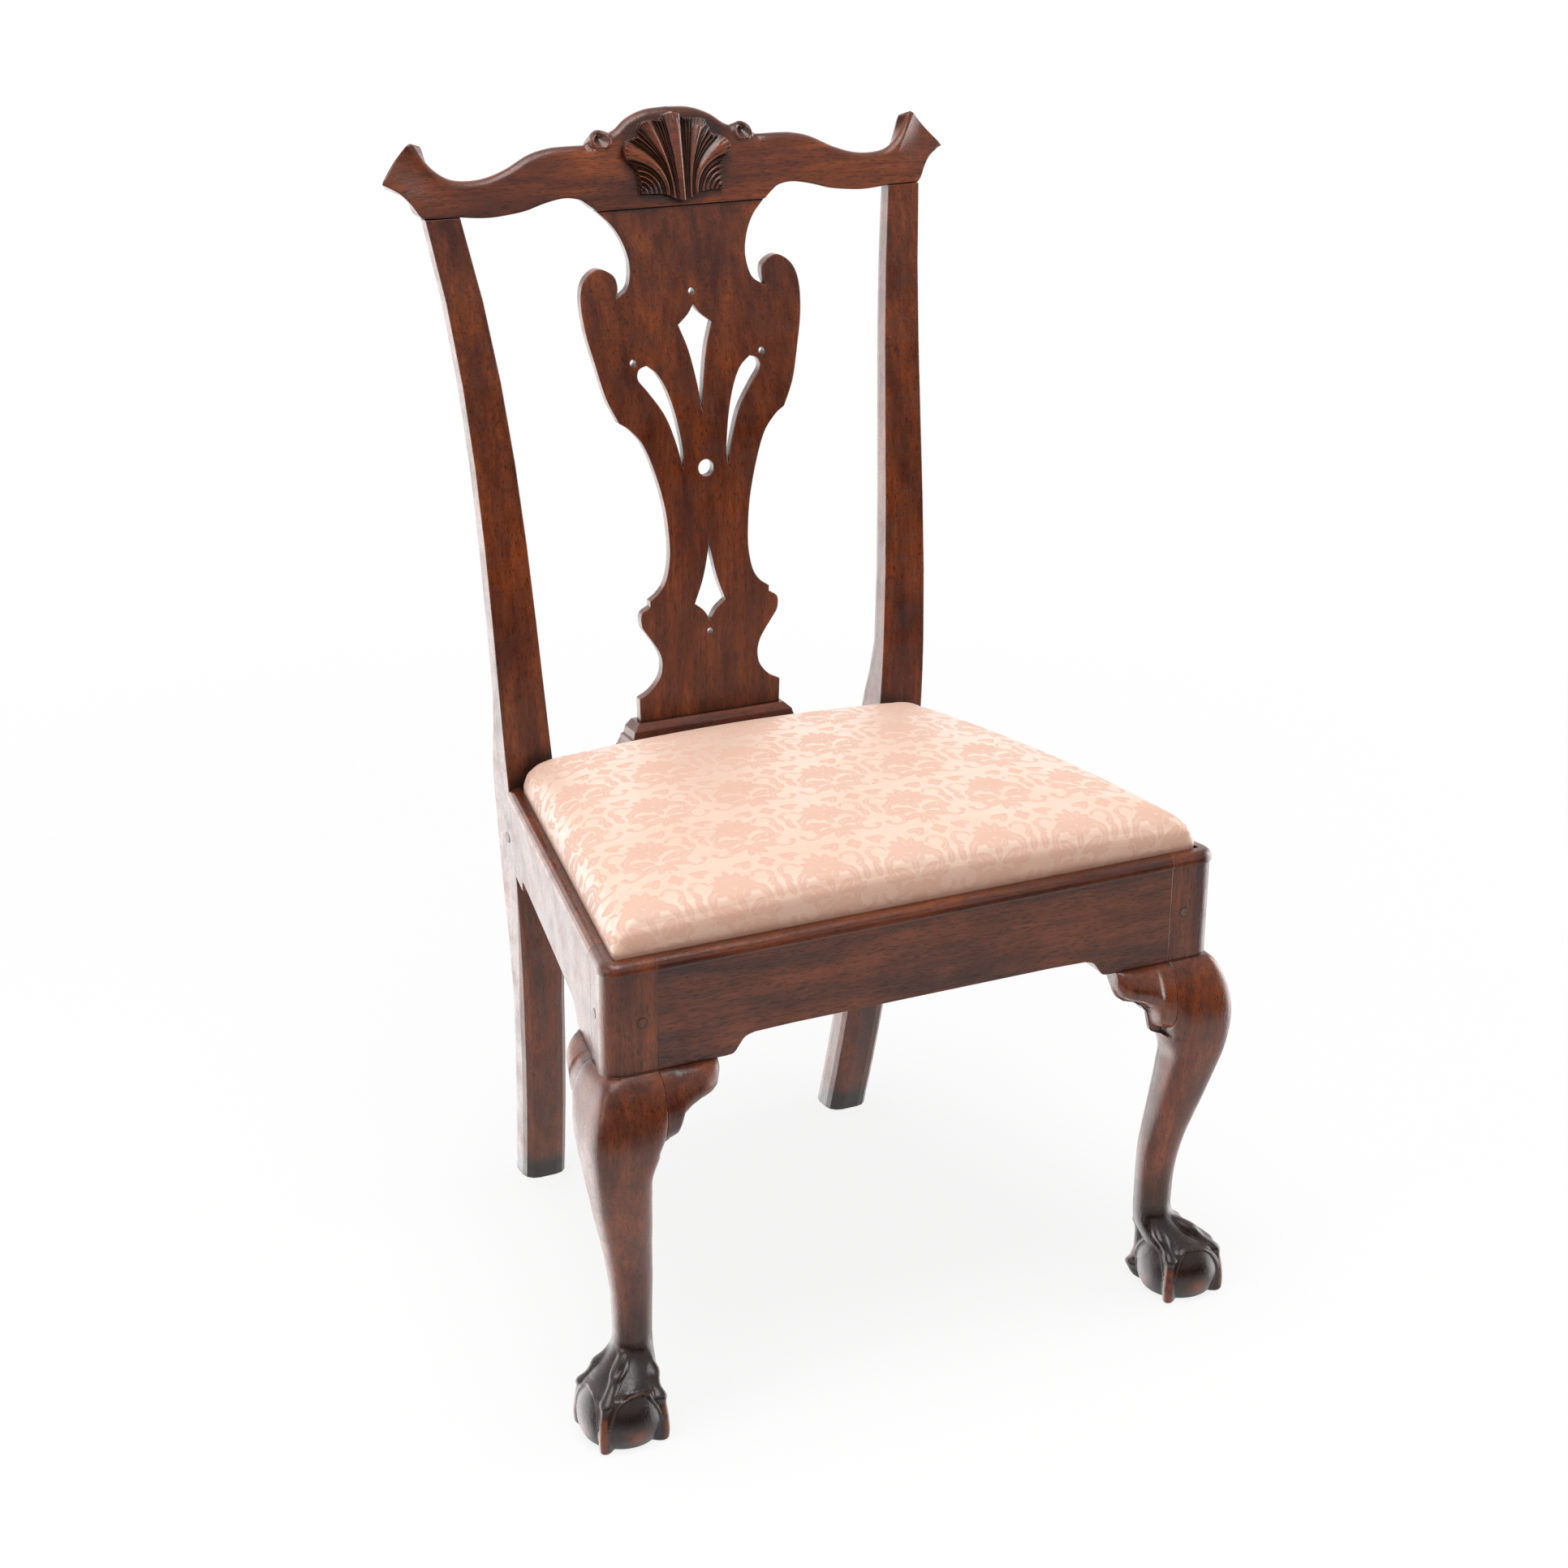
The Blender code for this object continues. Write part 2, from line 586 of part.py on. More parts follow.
# Crest rail: drawn flat above the splat joint, bent to the lean, its ears swept back
CREST_INNER = (
    ((0, 82.2), (22, 80.7), (40, 74.7), (52, 66.5), (58.5, 63.5)),
    ((58.5, 63.5), (65, 65.6), (71, 66.2), (77, 63), (79, 58), (84, 54.5)),
)
CREST_OUTER = (
    (
        (84, 54.5), (104, 54.6), (120, 53.7), (138, 49.5), (160, 39.5), (180, 33.5), (198, 32.2), (214, 35),
        (228, 45), (240.5, 63.5),
    ),
    ((240.5, 63.5), (243.5, 65.3), (247, 63.8)),
    ((247, 63.8), (271, 36.6)),
    ((271, 36.6), (272.8, 33.6), (269.5, 31.7)),
    ((269.5, 31.7), (259, 25.5), (251, 16.8), (245, 7.2), (240.9, 3.7)),
    ((240.9, 3.7), (209.1, 3.7)),
    (
        (209.1, 3.7), (195, 2.2), (181, 1.6), (165, 2.7), (148, 5), (130, 9.8), (112, 12.7), (98, 11),
        (90, 6.2), (82, 0),
    ),
)
CREST_DRAWN_JOINT = (209.1, 240.9)  # stile edges in the drawing
ARCH_KEEPS = 112  # the middle of the drawing, up to the arches beside the splat, keeps its width


def crest_point(p):
    """From the drawing, in millimetres above the splat joint; the outer part follows the stiles."""
    inner = stile_inner(STILE_TOP)
    outer = inner + stile_width(STILE_TOP)
    joint_in, joint_out = CREST_DRAWN_JOINT
    knots = ((0, 0), (ARCH_KEEPS, ARCH_KEEPS * MM), (joint_in, inner), (joint_out, outer))
    x = outer + (p[0] - CREST_DRAWN_JOINT[1]) * MM
    for (a, at), (b, to) in zip(knots, knots[1:]):
        if a <= p[0] <= b:
            x = at + (to - at) * (p[0] - a) / (b - a)
    rise = CREST_DIP if 3.6 < p[1] < 3.8 and p[0] > CREST_DRAWN_JOINT[0] - 1 else p[1] * MM
    return Vector((x, SPLAT_JOINT + rise))


def crest_face(x, z):
    sweep = max(0.0, abs(x) - EAR_START) / (HALF_FRONT - EAR_START)
    return splat_y(z) - CREST_PROUD + EAR_SWEEP * sweep * sweep


def crest_rail(tongue_half):
    half = [crest_point(p) for p in outline((*CREST_INNER, *CREST_OUTER))]
    half.append(crest_point(CREST_OUTER[-1][-1]))
    bm = flat_panel("crest_rail", [both_halves(half)])
    slice_across(bm, 2, [SPLAT_JOINT + 0.012 * k for k in range(1, 7)])
    slice_across(bm, 0, [s * (EAR_START + 0.016 * k) for s in (-1, 1) for k in range(4)])
    for v in bm.verts:
        x, y, z = v.co
        v.co.y = crest_face(x, z)
        if y > 0:
            lean = math.atan(2 * SPLAT_LEAN * (z - SPLAT_BEND))
            square = min(1.0, max(0.0, (z - STILE_TOP - CREST_DIP) / CREST_THICK))
            outer = min(1.0, max(0.0, (abs(x) - EAR_START) / (2 * EAR_SWEEP) - 1))
            tip = min(1.0, max(0.0, (z - STILE_TOP) / EAR_TALL - 0.5) * 2) if abs(x) > EAR_START else 0.0
            thick = CREST_THICK - (CREST_THICK - EAR_THICK) * tip
            v.co.y += thick * (1 - square * (1 - math.cos(lean)))
            v.co.z -= thick * math.sin(lean) * square
            v.co.x -= math.copysign(EAR_SWEEP * outer * square, x)
    made = place("crest_rail", mesh_from(bm, "crest_rail"), MAHOGANY)
    join(made, shell())
    slot = [Vector((x, z)) for x in (-1, 1) for z in (-1, 1)]
    slot = [slot[0], slot[2], slot[3], slot[1]]
    top = SPLAT_JOINT + SPLAT_TONGUE
    slot = [Vector((p.x * (tongue_half + FIT), top if p.y > 0 else 2 * SPLAT_JOINT - top)) for p in slot]
    front = TONGUE_SHOULDER - FIT
    cut(made, bent_panel("crest_groove", [slot], lambda z: front, SPLAT_THICK + FIT, [SPLAT_JOINT]))
    for side, word in SIDES:
        cut(made, stile_tenon(f"crest_mortise_{word}", side, FIT))


# Shell: curved rays fan out from the foot of the shell to a scalloped edge, with a raised lobe each
SHELL_RAYS = (  # foot, bend and tip of a ray, in millimetres above the splat joint, right half
    ((0, 5), (0, 38), (0, 79.5)),
    ((5.5, 6), (6.3, 36), (12, 72)),
    ((8, 7.5), (9, 39), (25, 73.5)),
    ((11, 9), (8.5, 39), (36, 59)),
    ((14, 10.5), (11.5, 37), (52, 48)),
    ((17, 11.5), (21.7, 34), (43.5, 38)),
    ((27, 12.3), (33, 22), (42, 25)),
    ((39, 12.5), (39.5, 14), (40.5, 14.5)),
)
LOBE_STEPS = 3  # columns between two rays
SHELL_ROWS = 7


def shell():
    rays = [[Vector((-p[0], p[1])) for p in ray] for ray in SHELL_RAYS[:0:-1]]
    rays += [[Vector(p) for p in ray] for ray in SHELL_RAYS]
    columns = []
    for q in range((len(rays) - 1) * LOBE_STEPS + 1):
        k = min(q // LOBE_STEPS, len(rays) - 2)
        t = q / LOBE_STEPS - k
        columns.append((q / LOBE_STEPS, [a.lerp(b, t) for a, b in zip(rays[k], rays[k + 1])]))
    middle = len(SHELL_RAYS) - 1
    bm = bmesh.new()
    front, back = [], []
    for place_on, (foot, bend, tip) in columns:
        lobe = 0.5 + 0.5 * math.cos(math.pi * (place_on - middle))
        outer, inner = [], []
        for row in range(SHELL_ROWS):
            v = row / (SHELL_ROWS - 1)
            p = (1 - v) ** 2 * foot + 2 * v * (1 - v) * bend + v * v * tip
            x, z = p.x * MM, SPLAT_JOINT + p.y * MM
            relief = SHELL_RELIEF * (0.35 + 0.4 * math.sin(math.pi * min(1, 0.25 + 0.75 * v)) + 0.25 * lobe)
            outer.append(bm.verts.new((x, crest_face(x, z) - relief, z)))
            inner.append(bm.verts.new((x, crest_face(x, z) + SHELL_RELIEF, z)))
        front.append(outer)
        back.append(inner)
    for grid in (front, back):
        for a, b in zip(grid, grid[1:]):
            for k in range(SHELL_ROWS - 1):
                bm.faces.new((a[k], b[k], b[k + 1], a[k + 1]))
    rim, rim_back = (
        [column[0] for column in grid] + grid[-1][1:] + [c[-1] for c in grid[-2::-1]] + grid[0][-2:0:-1]
        for grid in (front, back)
    )
    for k in range(len(rim)):
        n = (k + 1) % len(rim)
        bm.faces.new((rim[k], rim[n], rim_back[n], rim_back[k]))
    return place("crest_shell", mesh_from(bm, "crest_shell"))


# Front legs: square post, swelling knee, round shin and ankle, and four claws on a flattened ball
def post_ring(side, z, out):
    """Plan of the post, its two outer faces moved outwards by the moulding."""
    radius = POST_ROUND + out
    cx = HALF_FRONT - SIDE_SLOPE * POST_ROUND - POST_ROUND * SIDE_STRETCH
    end = math.atan(SIDE_SLOPE)
    turns = [-math.pi / 2 + (end + math.pi / 2) * k / 6 for k in range(7)]
    arc = [(cx + radius * math.cos(a), POST_ROUND + radius * math.sin(a)) for a in turns]
    rail_end = side_x(POST_DEPTH) + out * SIDE_STRETCH
    plan = [(POST_IN, -out), *arc, (rail_end, POST_DEPTH), (POST_IN, POST_DEPTH)]
    return [(side * x, y, z) for x, y in plan]


def knee_ring(side, z, forward, half, power):
    """A rounded square about a point on the leg's diagonal; power 2 makes it round."""
    cx = LEG_CENTRE.x + forward / math.sqrt(2)
    cy = LEG_CENTRE.y - forward / math.sqrt(2)
    ring = []
    for k in range(24):
        a = math.pi / 12 * (k + 0.5)
        c, s = math.cos(a), math.sin(a)
        reach = half / (abs(c) ** power + abs(s) ** power) ** (1 / power)
        ring.append((side * (cx + reach * c), cy + reach * s, z))
    return ring


# Claws, from the ankle down over two knuckles to the floor: share of the way from the ankle to the ball's
# middle, share of the reach outwards, share of the ankle's height, and share of a claw's radius
CLAW_FRONT = (
    (0.0, 0.19, 0.86, 0.90), (0.5, 0.22, 0.775, 0.92), (1.0, 0.23, 0.69, 1.10), (1.0, 0.47, 0.59, 0.86),
    (1.0, 0.68, 0.495, 1.10), (1.0, 0.77, 0.35, 0.85), (1.0, 0.85, 0.0, 0.75),
)
CLAW_SIDE = (
    (0.0, 0.19, 0.86, 0.90), (0.35, 0.33, 0.70, 0.88), (0.65, 0.55, 0.60, 1.10), (0.85, 0.68, 0.53, 0.86),
    (1.0, 0.785, 0.455, 1.10), (1.0, 0.83, 0.33, 0.85), (1.0, 0.875, 0.0, 0.75),
)
CLAW_BACK = (
    (0.0, 0.12, 0.86, 0.90), (0.0, 0.20, 0.60, 0.90), (1.0, 0.80, 0.36, 0.90), (1.0, 0.92, 0.17, 1.00),
    (1.0, 0.80, 0.0, 0.70),
)


def claw(name, centre, ankle, along, path):
    """A round claw that follows its path outwards along one direction."""
    points = []
    for way, out, high, size in path:
        p = ankle.lerp(centre, way) + along * out * TOE_REACH
        points.append((p.x, p.y, max(FIT, high * ANKLE_HIGH), size))
    bend = [*smooth(points, 2), Vector(points[-1])]
    curve = bpy.data.curves.new(name, "CURVE")
    curve.dimensions = "3D"
    curve.bevel_depth = TOE_RADIUS
    curve.bevel_resolution = 2
    curve.use_fill_caps = True
    spline = curve.splines.new("POLY")
    spline.points.add(len(bend) - 1)
    for at, p in zip(spline.points, bend):
        at.co = (p[0], p[1], p[2], 1)
        at.radius = p[3]
    guide = bpy.data.objects.new(name, curve)
    tools.objects.link(guide)
    bpy.context.view_layer.update()
    drawn = bpy.data.meshes.new_from_object(guide.evaluated_get(bpy.context.evaluated_depsgraph_get()))
    bpy.data.objects.remove(guide)
    bm = bmesh.new()
    bm.from_mesh(drawn)
    bpy.data.meshes.remove(drawn)
    return place(name, mesh_from(bm, name))


def leg_stations():
    """Height, centre on the diagonal, half width and squareness of the leg, from the foot up."""
    shin = KNEE_TOP - ANKLE_HIGH
    a = ANKLE_RADIUS
    return (
        (0.30 * ANKLE_HIGH, FOOT_FORWARD, 0.6 * BALL_RADIUS, 2),
        (0.43 * ANKLE_HIGH, 0.98 * FOOT_FORWARD, 0.83 * BALL_RADIUS, 3),
        (0.50 * ANKLE_HIGH, 0.9 * FOOT_FORWARD, 0.80 * BALL_RADIUS, 2.8),
        (0.60 * ANKLE_HIGH, 0.6 * FOOT_FORWARD, 0.67 * BALL_RADIUS, 2.4),
        (0.72 * ANKLE_HIGH, 0.15 * FOOT_FORWARD, 1.18 * a, 2.1),
        (0.84 * ANKLE_HIGH, -0.0030, 1.04 * a, 2),
        (ANKLE_HIGH, -0.0045, a, 2),
        (ANKLE_HIGH + 0.13 * shin, -0.0036, 1.04 * a, 2),
        (ANKLE_HIGH + 0.20 * shin, -0.0021, 1.11 * a, 2),
        (ANKLE_HIGH + 0.28 * shin, 0.0015, 1.17 * a, 2.1),
        (ANKLE_HIGH + 0.36 * shin, 0.0063, 1.26 * a, 2.2),
        (ANKLE_HIGH + 0.44 * shin, 0.0109, 1.36 * a, 2.3),
        (ANKLE_HIGH + 0.56 * shin, 0.0178, 1.48 * a, 2.6),
        (ANKLE_HIGH + 0.64 * shin, 0.0215, 0.645 * KNEE_SWELL, 3),
        (ANKLE_HIGH + 0.72 * shin, 0.0200, 0.73 * KNEE_SWELL, 3.6),
        (ANKLE_HIGH + 0.79 * shin, 0.0160, 0.82 * KNEE_SWELL, 4),
        (ANKLE_HIGH + 0.85 * shin, 0.0110, 0.85 * KNEE_SWELL, 5),
        (ANKLE_HIGH + 0.91 * shin, 0.0040, 0.865 * KNEE_SWELL, 6),
        (ANKLE_HIGH + 0.96 * shin, 0.0020, 0.78 * KNEE_SWELL, 6),
        (ANKLE_HIGH + 0.985 * shin, 0.0010, 0.70 * KNEE_SWELL, 6),
        (KNEE_TOP, 0.0, 0.59 * KNEE_SWELL, 6),
    )


def front_leg(side, word):
    leg = loft(f"front_leg_{word}", [knee_ring(side, *s) for s in leg_stations()], MAHOGANY, facets=True)
    reach = 2 * KNEE_SWELL
    core_low = KNEE_TOP - POST_CORE_DOWN
    seat_low = KNEE_TOP - RETURN_TALL - 5 * FIT
    inside = POST_IN - reach
    for name, low, high in (
        ("return_seat_front", (inside, -reach, seat_low), (POST_IN + 0.5 * FIT, reach, SEAT_TOP)),
        (
            "return_seat_side", (inside, POST_DEPTH - 0.5 * FIT, seat_low),
            (HALF_FRONT + reach, 2 * reach, SEAT_TOP),
        ),
    ):
        cut(leg, box(f"{name}_{word}", *mirrored(side, low, high)))
    turns = [math.pi / 2 * k / 4 for k in range(5)]
    levels = [(core_low, 0), (LIP_LOW, 0), (LIP_LOW + FIT, LIP_PROUD)]
    for a in turns:
        z = LIP_LOW + LIP_FILLET + MOULDING_ROUND * math.sin(a)
        levels.append((z, LIP_PROUD - MOULDING_ROUND * (1 - math.cos(a))))
    join(leg, loft(f"leg_post_{word}", [post_ring(side, z, out) for z, out in levels]))
    diagonal = Vector((side, -1)).normalized()
    middle = Vector((side * LEG_CENTRE.x, LEG_CENTRE.y))
    centre = middle + FOOT_FORWARD * diagonal
    ankle = middle - 0.0035 * diagonal
    bm = bmesh.new()
    size = Matrix.Diagonal((BALL_RADIUS, BALL_RADIUS, BALL_TALL, 1))
    bmesh.ops.create_uvsphere(
        bm, u_segments=20, v_segments=12, radius=1, matrix=Matrix.Translation((*centre, BALL_HIGH)) @ size
    )
    join(leg, place(f"foot_ball_{word}", mesh_from(bm, f"foot_ball_{word}")))
    claws = (("front", CLAW_FRONT), ("side", CLAW_SIDE), ("back", CLAW_BACK), ("inner", CLAW_SIDE))
    for k, (place_word, path) in enumerate(claws):
        turned = Matrix.Rotation(side * math.pi / 2 * k, 2) @ diagonal
        join(leg, claw(f"claw_{place_word}_{word}", centre, ankle, turned, path))
    floor = 2 * TOE_REACH
    low, high = (centre.x - floor, centre.y - floor, -floor), (centre.x + floor, centre.y + floor, 0)
    cut(leg, box(f"floor_cut_{word}", low, high))
    return leg


# Knee returns: brackets glued below the rails, carrying the swell of the knee out to a scrolled end
RETURN_EDGE = (  # shares of a return's length and height, along its lower edge
    (0.0, 1.0), (0.13, 0.96), (0.245, 0.90), (0.27, 0.79), (0.31, 0.66),
    (0.44, 0.55), (0.60, 0.475), (0.80, 0.43), (0.95, 0.345),
)
RETURN_TIP = (1.0, 0.22)
FACE_LEVELS = (0.0, 0.07, 0.20, 0.35, 0.55, 0.80, 1.0)  # shares of a return's height, down its face


def knee_crossings(z, axis, at):
    """Where the right-hand leg's surface crosses an upright plane at a height, along the other axis."""
    stations = leg_stations()
    for low, high in zip(stations, stations[1:]):
        if low[0] <= z <= high[0]:
            t = (z - low[0]) / (high[0] - low[0])
            ring = [Vector(p).lerp(q, t) for p, q in zip(knee_ring(1, *low), knee_ring(1, *high))]
    found = []
    for p, q in zip(ring, [*ring[1:], ring[0]]):
        if (p[axis] - at) * (q[axis] - at) < 0:
            found.append(p[1 - axis] + (q[1 - axis] - p[1 - axis]) * (at - p[axis]) / (q[axis] - p[axis]))
    return found


def knee_front(z):
    """Leg's front face at the joint with the front return, behind the rail's face."""
    return min(knee_crossings(z, 0, POST_IN), default=RETURN_THICK)


def knee_side(z):
    """Leg's outer face at the joint with the side return, inside the rail's face."""
    return side_x(POST_DEPTH) - max(knee_crossings(z, 1, POST_DEPTH), default=0.0)


def knee_return(name, leg_face, to_chair):
    """Drawn along its rail from the post outwards, then set on the front or a side by to_chair."""
    tail = 0.3 * RETURN_THICK
    rings = []
    for along, drop in [*smooth(RETURN_EDGE, 2), Vector(RETURN_TIP)]:
        low = drop * RETURN_TALL
        near = 1 - 0.7 * along**4
        face = []
        for down in FACE_LEVELS:
            deep = min(0.5 * tail, leg_face(KNEE_TOP - down * RETURN_TALL))
            face.append((deep * near, -FIT - low * down))
        back = [(tail, -FIT - low), (RETURN_THICK, -FIT - 0.3 * low), (RETURN_THICK, -FIT)]
        rings.append([to_chair(FIT + along * RETURN_LONG, d, KNEE_TOP + h) for d, h in [*face, *back]])
    return loft(name, rings, MAHOGANY)


# Corner blocks: glued upright into the corners of the seat frame, under the drop-in seat
def prism(name, plan, low, high, paint=None, parent=root):
    return loft(name, [[(x, y, z) for x, y in plan] for z in (low, high)], paint, parent)


def corner_blocks(side, word):
    top = LEDGE - 5 * FIT
    low = top - BLOCK_TALL
    x, y = POST_IN - FIT, RAIL_THICK + FIT
    plan = [(x, y), (x, y + CORNER_BLOCK), (x - 0.3 * CORNER_BLOCK, y + 0.85 * CORNER_BLOCK)]
    plan += [(x - 0.85 * CORNER_BLOCK, y + 0.3 * CORNER_BLOCK), (x - CORNER_BLOCK, y)]
    prism(f"corner_block_front_{word}", [(side * a, b) for a, b in plan], low, top, POPLAR)
    y = REAR_RAIL_FRONT - FIT
    size = CORNER_BLOCK
    rings = []
    for z in (low, top):
        corner = rail_x(y, z) - RAIL_THICK * SIDE_STRETCH - FIT
        front = rail_x(y - size, z) - RAIL_THICK * SIDE_STRETCH - FIT
        plan = [(corner, y), (corner - size, y), (corner - 0.8 * size, y - 0.35 * size)]
        plan += [(front - 0.3 * size, y - 0.9 * size), (front, y - size)]
        rings.append([(side * a, b, z) for a, b in plan])
    loft(f"corner_block_rear_{word}", rings, POPLAR)


# Pins: round pegs driven through a joint, each with its hole through both pieces
def pin(name, at, axis, pieces):
    cylinder(name, at, axis, PIN_RADIUS, PIN_LONG, MAHOGANY)
    hole = cylinder(f"{name}_hole", at, axis, PIN_RADIUS + FIT, PIN_LONG + 2 * FIT)
    for piece in pieces:
        cut(piece, hole)


# Drop-in seat: webbed frame, stuffed pad and cover, all on one empty that lifts out of the rebate
slip = bpy.data.objects.new("slip_seat_lift", None)
chair.objects.link(slip)
slip.location = (0, SEAT_MIDDLE, SLIP_LOW)


def slip_half(y, inset):
    return side_x(y) - (RIM_WIDTH + inset) * SIDE_STRETCH


def slip_front(inset):
    return RIM_WIDTH + inset


def slip_back(inset):
    return SEAT_DEPTH - SLIP_BACK_GAP - inset


def slip_ring(inset, z, corner, swell=0.0):
    """Plan of the seat, moved inwards, with rounded corners and sides that may swell upwards."""
    y0, y1 = slip_front(inset), slip_back(inset)
    corner = min(corner, 0.35 * (y1 - y0))
    corners = [Vector((slip_half(y0, inset), y0)), Vector((slip_half(y1, inset), y1))]
    corners += [Vector((-p.x, p.y)) for p in reversed(corners)]
    ring = []
    for k, p in enumerate(corners):
        before, after = corners[k - 1], corners[(k + 1) % 4]
        a = p + corner * (before - p).normalized()
        b = p + corner * (after - p).normalized()
        for t in (0, 0.33, 0.67, 1):
            ring.append((1 - t) ** 2 * a + 2 * t * (1 - t) * p + t * t * b)
        far = after + corner * (p - after).normalized()
        ring += [b.lerp(far, t) for t in (0.25, 0.5, 0.75)]
    lift = [0, 0, 0, 0, 0.75 * swell, swell, 0.75 * swell] * 4
    return [(p.x, p.y, z + up) for p, up in zip(ring, lift)]


CROWN_CURVE = (  # distance in from the seat's edge, and share of the crown's height
    (0.0, 0.10), (0.0018, 0.27), (0.0065, 0.46), (0.016, 0.65), (0.034, 0.81), (0.068, 0.93), (0.115, 0.985),
    (0.165, 1.0),
)


def crown_rings(inset, drop, start):
    """Rings from the seat's edge up over its crown, for a skin a little inside the seat's shape."""
    rings = [slip_ring(inset, start, SLIP_CORNER)]
    for inward, up in CROWN_CURVE:
        swell = SIDE_SWELL * 4 * up * (1 - up)
        z = SEAT_TOP + CROWN * up - drop
        rings.append(slip_ring(inset + inward, z, SLIP_CORNER + 0.25 * inward, swell))
    return rings


def slip_seat():
    outer = SLIP_GAP
    inner = outer + COVER_THICK
    low = SLIP_LOW + COVER_THICK
    under = [slip_ring(inner + SEAT_LIFT_TURN_IN, z, 0.006) for z in (low, SLIP_LOW)]
    cover_of([*under, *crown_rings(outer, 0, SLIP_LOW)], crown_rings(inner, COVER_THICK, low))
    frame_inset = inner + FIT
    frame_low = low + FIT
    frame_high = frame_low + SLIP_RAIL_THICK
    slip_rails(frame_inset, frame_low, frame_high)
    webbing(frame_inset, frame_high + FIT)
    pad_low = frame_high + 2 * FIT + 2 * WEB_WAVE + WEB_THICK
    stuffing = crown_rings(inner + 2 * FIT, COVER_THICK + 2 * FIT, pad_low)
    loft("seat_stuffing", [r for r in stuffing if r[0][2] >= pad_low], HAIR, slip)


def cover_of(skin, lining):
    """The cover as one closed sheet: turned under, up the sides, over the crown and back inside."""
    bm = bmesh.new()
    rows = [[bm.verts.new(p) for p in ring] for ring in [*skin, *lining[::-1]]]
    top = len(skin) - 1
    count = len(rows[0])
    for k, (a, b) in enumerate(zip(rows, [*rows[1:], rows[0]])):
        if k == top:
            continue
        for i in range(count):
            n = (i + 1) % count
            bm.faces.new((a[i], a[n], b[n], b[i]))
    bm.faces.new(rows[top])
    bm.faces.new(rows[top + 1][::-1])
    place("seat_cover", mesh_from(bm, "seat_cover"), DAMASK, slip)


def slip_rails(inset, low, high):
    """Four rails, half-lapped at the corners: front and rear rails over the side rails."""
    half = (low + high) / 2
    y0, y1 = slip_front(inset), slip_back(inset)

    def across(y_near, y_far, more):
        near, far = slip_half(y_near, inset) + more, slip_half(y_far, inset) + more
        return [(-near, y_near), (near, y_near), (far, y_far), (-far, y_far)]

    def along(side, wide, more):
        ends = (y0 - more, y1 + more)
        outer = [(side * (slip_half(y, inset) + more), y) for y in ends]
        return [*outer, *((side * (slip_half(y, inset) - wide), y) for y in reversed(ends))]

    plan = [(x, y) for x, y, _ in slip_ring(inset, low, SLIP_CORNER)]
    shape = prism("slip_frame_shape", plan, low - SLIP_RAIL_THICK, high + SLIP_RAIL_THICK, None, slip)
    fronts = (("front", y0, y0 + SLIP_RAIL_WIDE), ("rear", y1 - SLIP_RAIL_WIDE, y1))
    cross = [prism(f"slip_rail_{word}", across(a, b, 0), low, high, POPLAR, slip) for word, a, b in fronts]
    for side, word in SIDES:
        rail = prism(f"slip_rail_{word}", along(side, SLIP_RAIL_WIDE, 0), low, high, POPLAR, slip)
        for end, a, b in fronts:
            lap = across(a - FIT, b + FIT, SLIP_RAIL_WIDE)
            cut(rail, prism(f"lap_{word}_{end}", lap, half - FIT / 2, high + SLIP_RAIL_WIDE, None, slip))
        combine(rail, shape, "INTERSECT")
        lap = along(side, SLIP_RAIL_WIDE + FIT, SLIP_RAIL_WIDE)
        seat = prism(f"lap_seat_{word}", lap, low - SLIP_RAIL_WIDE, half + FIT / 2, None, slip)
        for rail in cross:
            cut(rail, seat)
    for rail in cross:
        combine(rail, shape, "INTERSECT")


def strap(name, start, end, height, waves):
    """A flat strap from start to end, passing over and under the straps that cross it."""
    along = (end - start).normalized()
    across = Vector((-along.y, along.x)) * WEB_WIDE / 2
    steps = 12
    rings = []
    for k in range(steps + 1):
        t = k / steps
        p = start.lerp(end, t)
        seated = max(0.0, 1 - min(t, 1 - t) * (end - start).length / SLIP_RAIL_WIDE)
        z = height + WEB_WAVE * (waves(p) - math.sin(math.pi / 2 * seated))
        section = ((-1, 0), (1, 0), (1, WEB_THICK), (-1, WEB_THICK))
        rings.append([(*(p + s * across), z + h) for s, h in section])
    loft(name, rings, WEBBING, slip)


def webbing(inset, low):
    y0, y1 = slip_front(inset) + 0.3 * SLIP_RAIL_WIDE, slip_back(inset) - 0.3 * SLIP_RAIL_WIDE
    pitch = (y1 - y0) / 4
    rows = [SEAT_MIDDLE + pitch * k for k in (-1, 0, 1)]
    spread = slip_half(rows[1], inset) / 2
    columns = [spread * k for k in (-1, 0, 1)]
    height = low + WEB_WAVE

    def wave(value, places, gap, sign):
        nearest = min(places, key=lambda p: abs(p - value))
        far = min(1.0, abs(value - nearest) / gap)
        return sign * (-1) ** places.index(nearest) * math.cos(math.pi / 2 * far)

    for k, x in enumerate(columns):
        strap(
            f"web_strap_long_{k + 1}", Vector((x, y0)), Vector((x, y1)), height,
            lambda p, s=(-1) ** k: wave(p.y, rows, pitch / 2, s),
        )
    for k, y in enumerate(rows):
        end = slip_half(y, inset) - 0.3 * SLIP_RAIL_WIDE
        strap(
            f"web_strap_cross_{k + 1}", Vector((-end, y)), Vector((end, y)), height,
            lambda p, s=-((-1) ** k): wave(p.x, columns, spread / 2, s),
        )


SIDES = ((-1, "left"), (1, "right"))

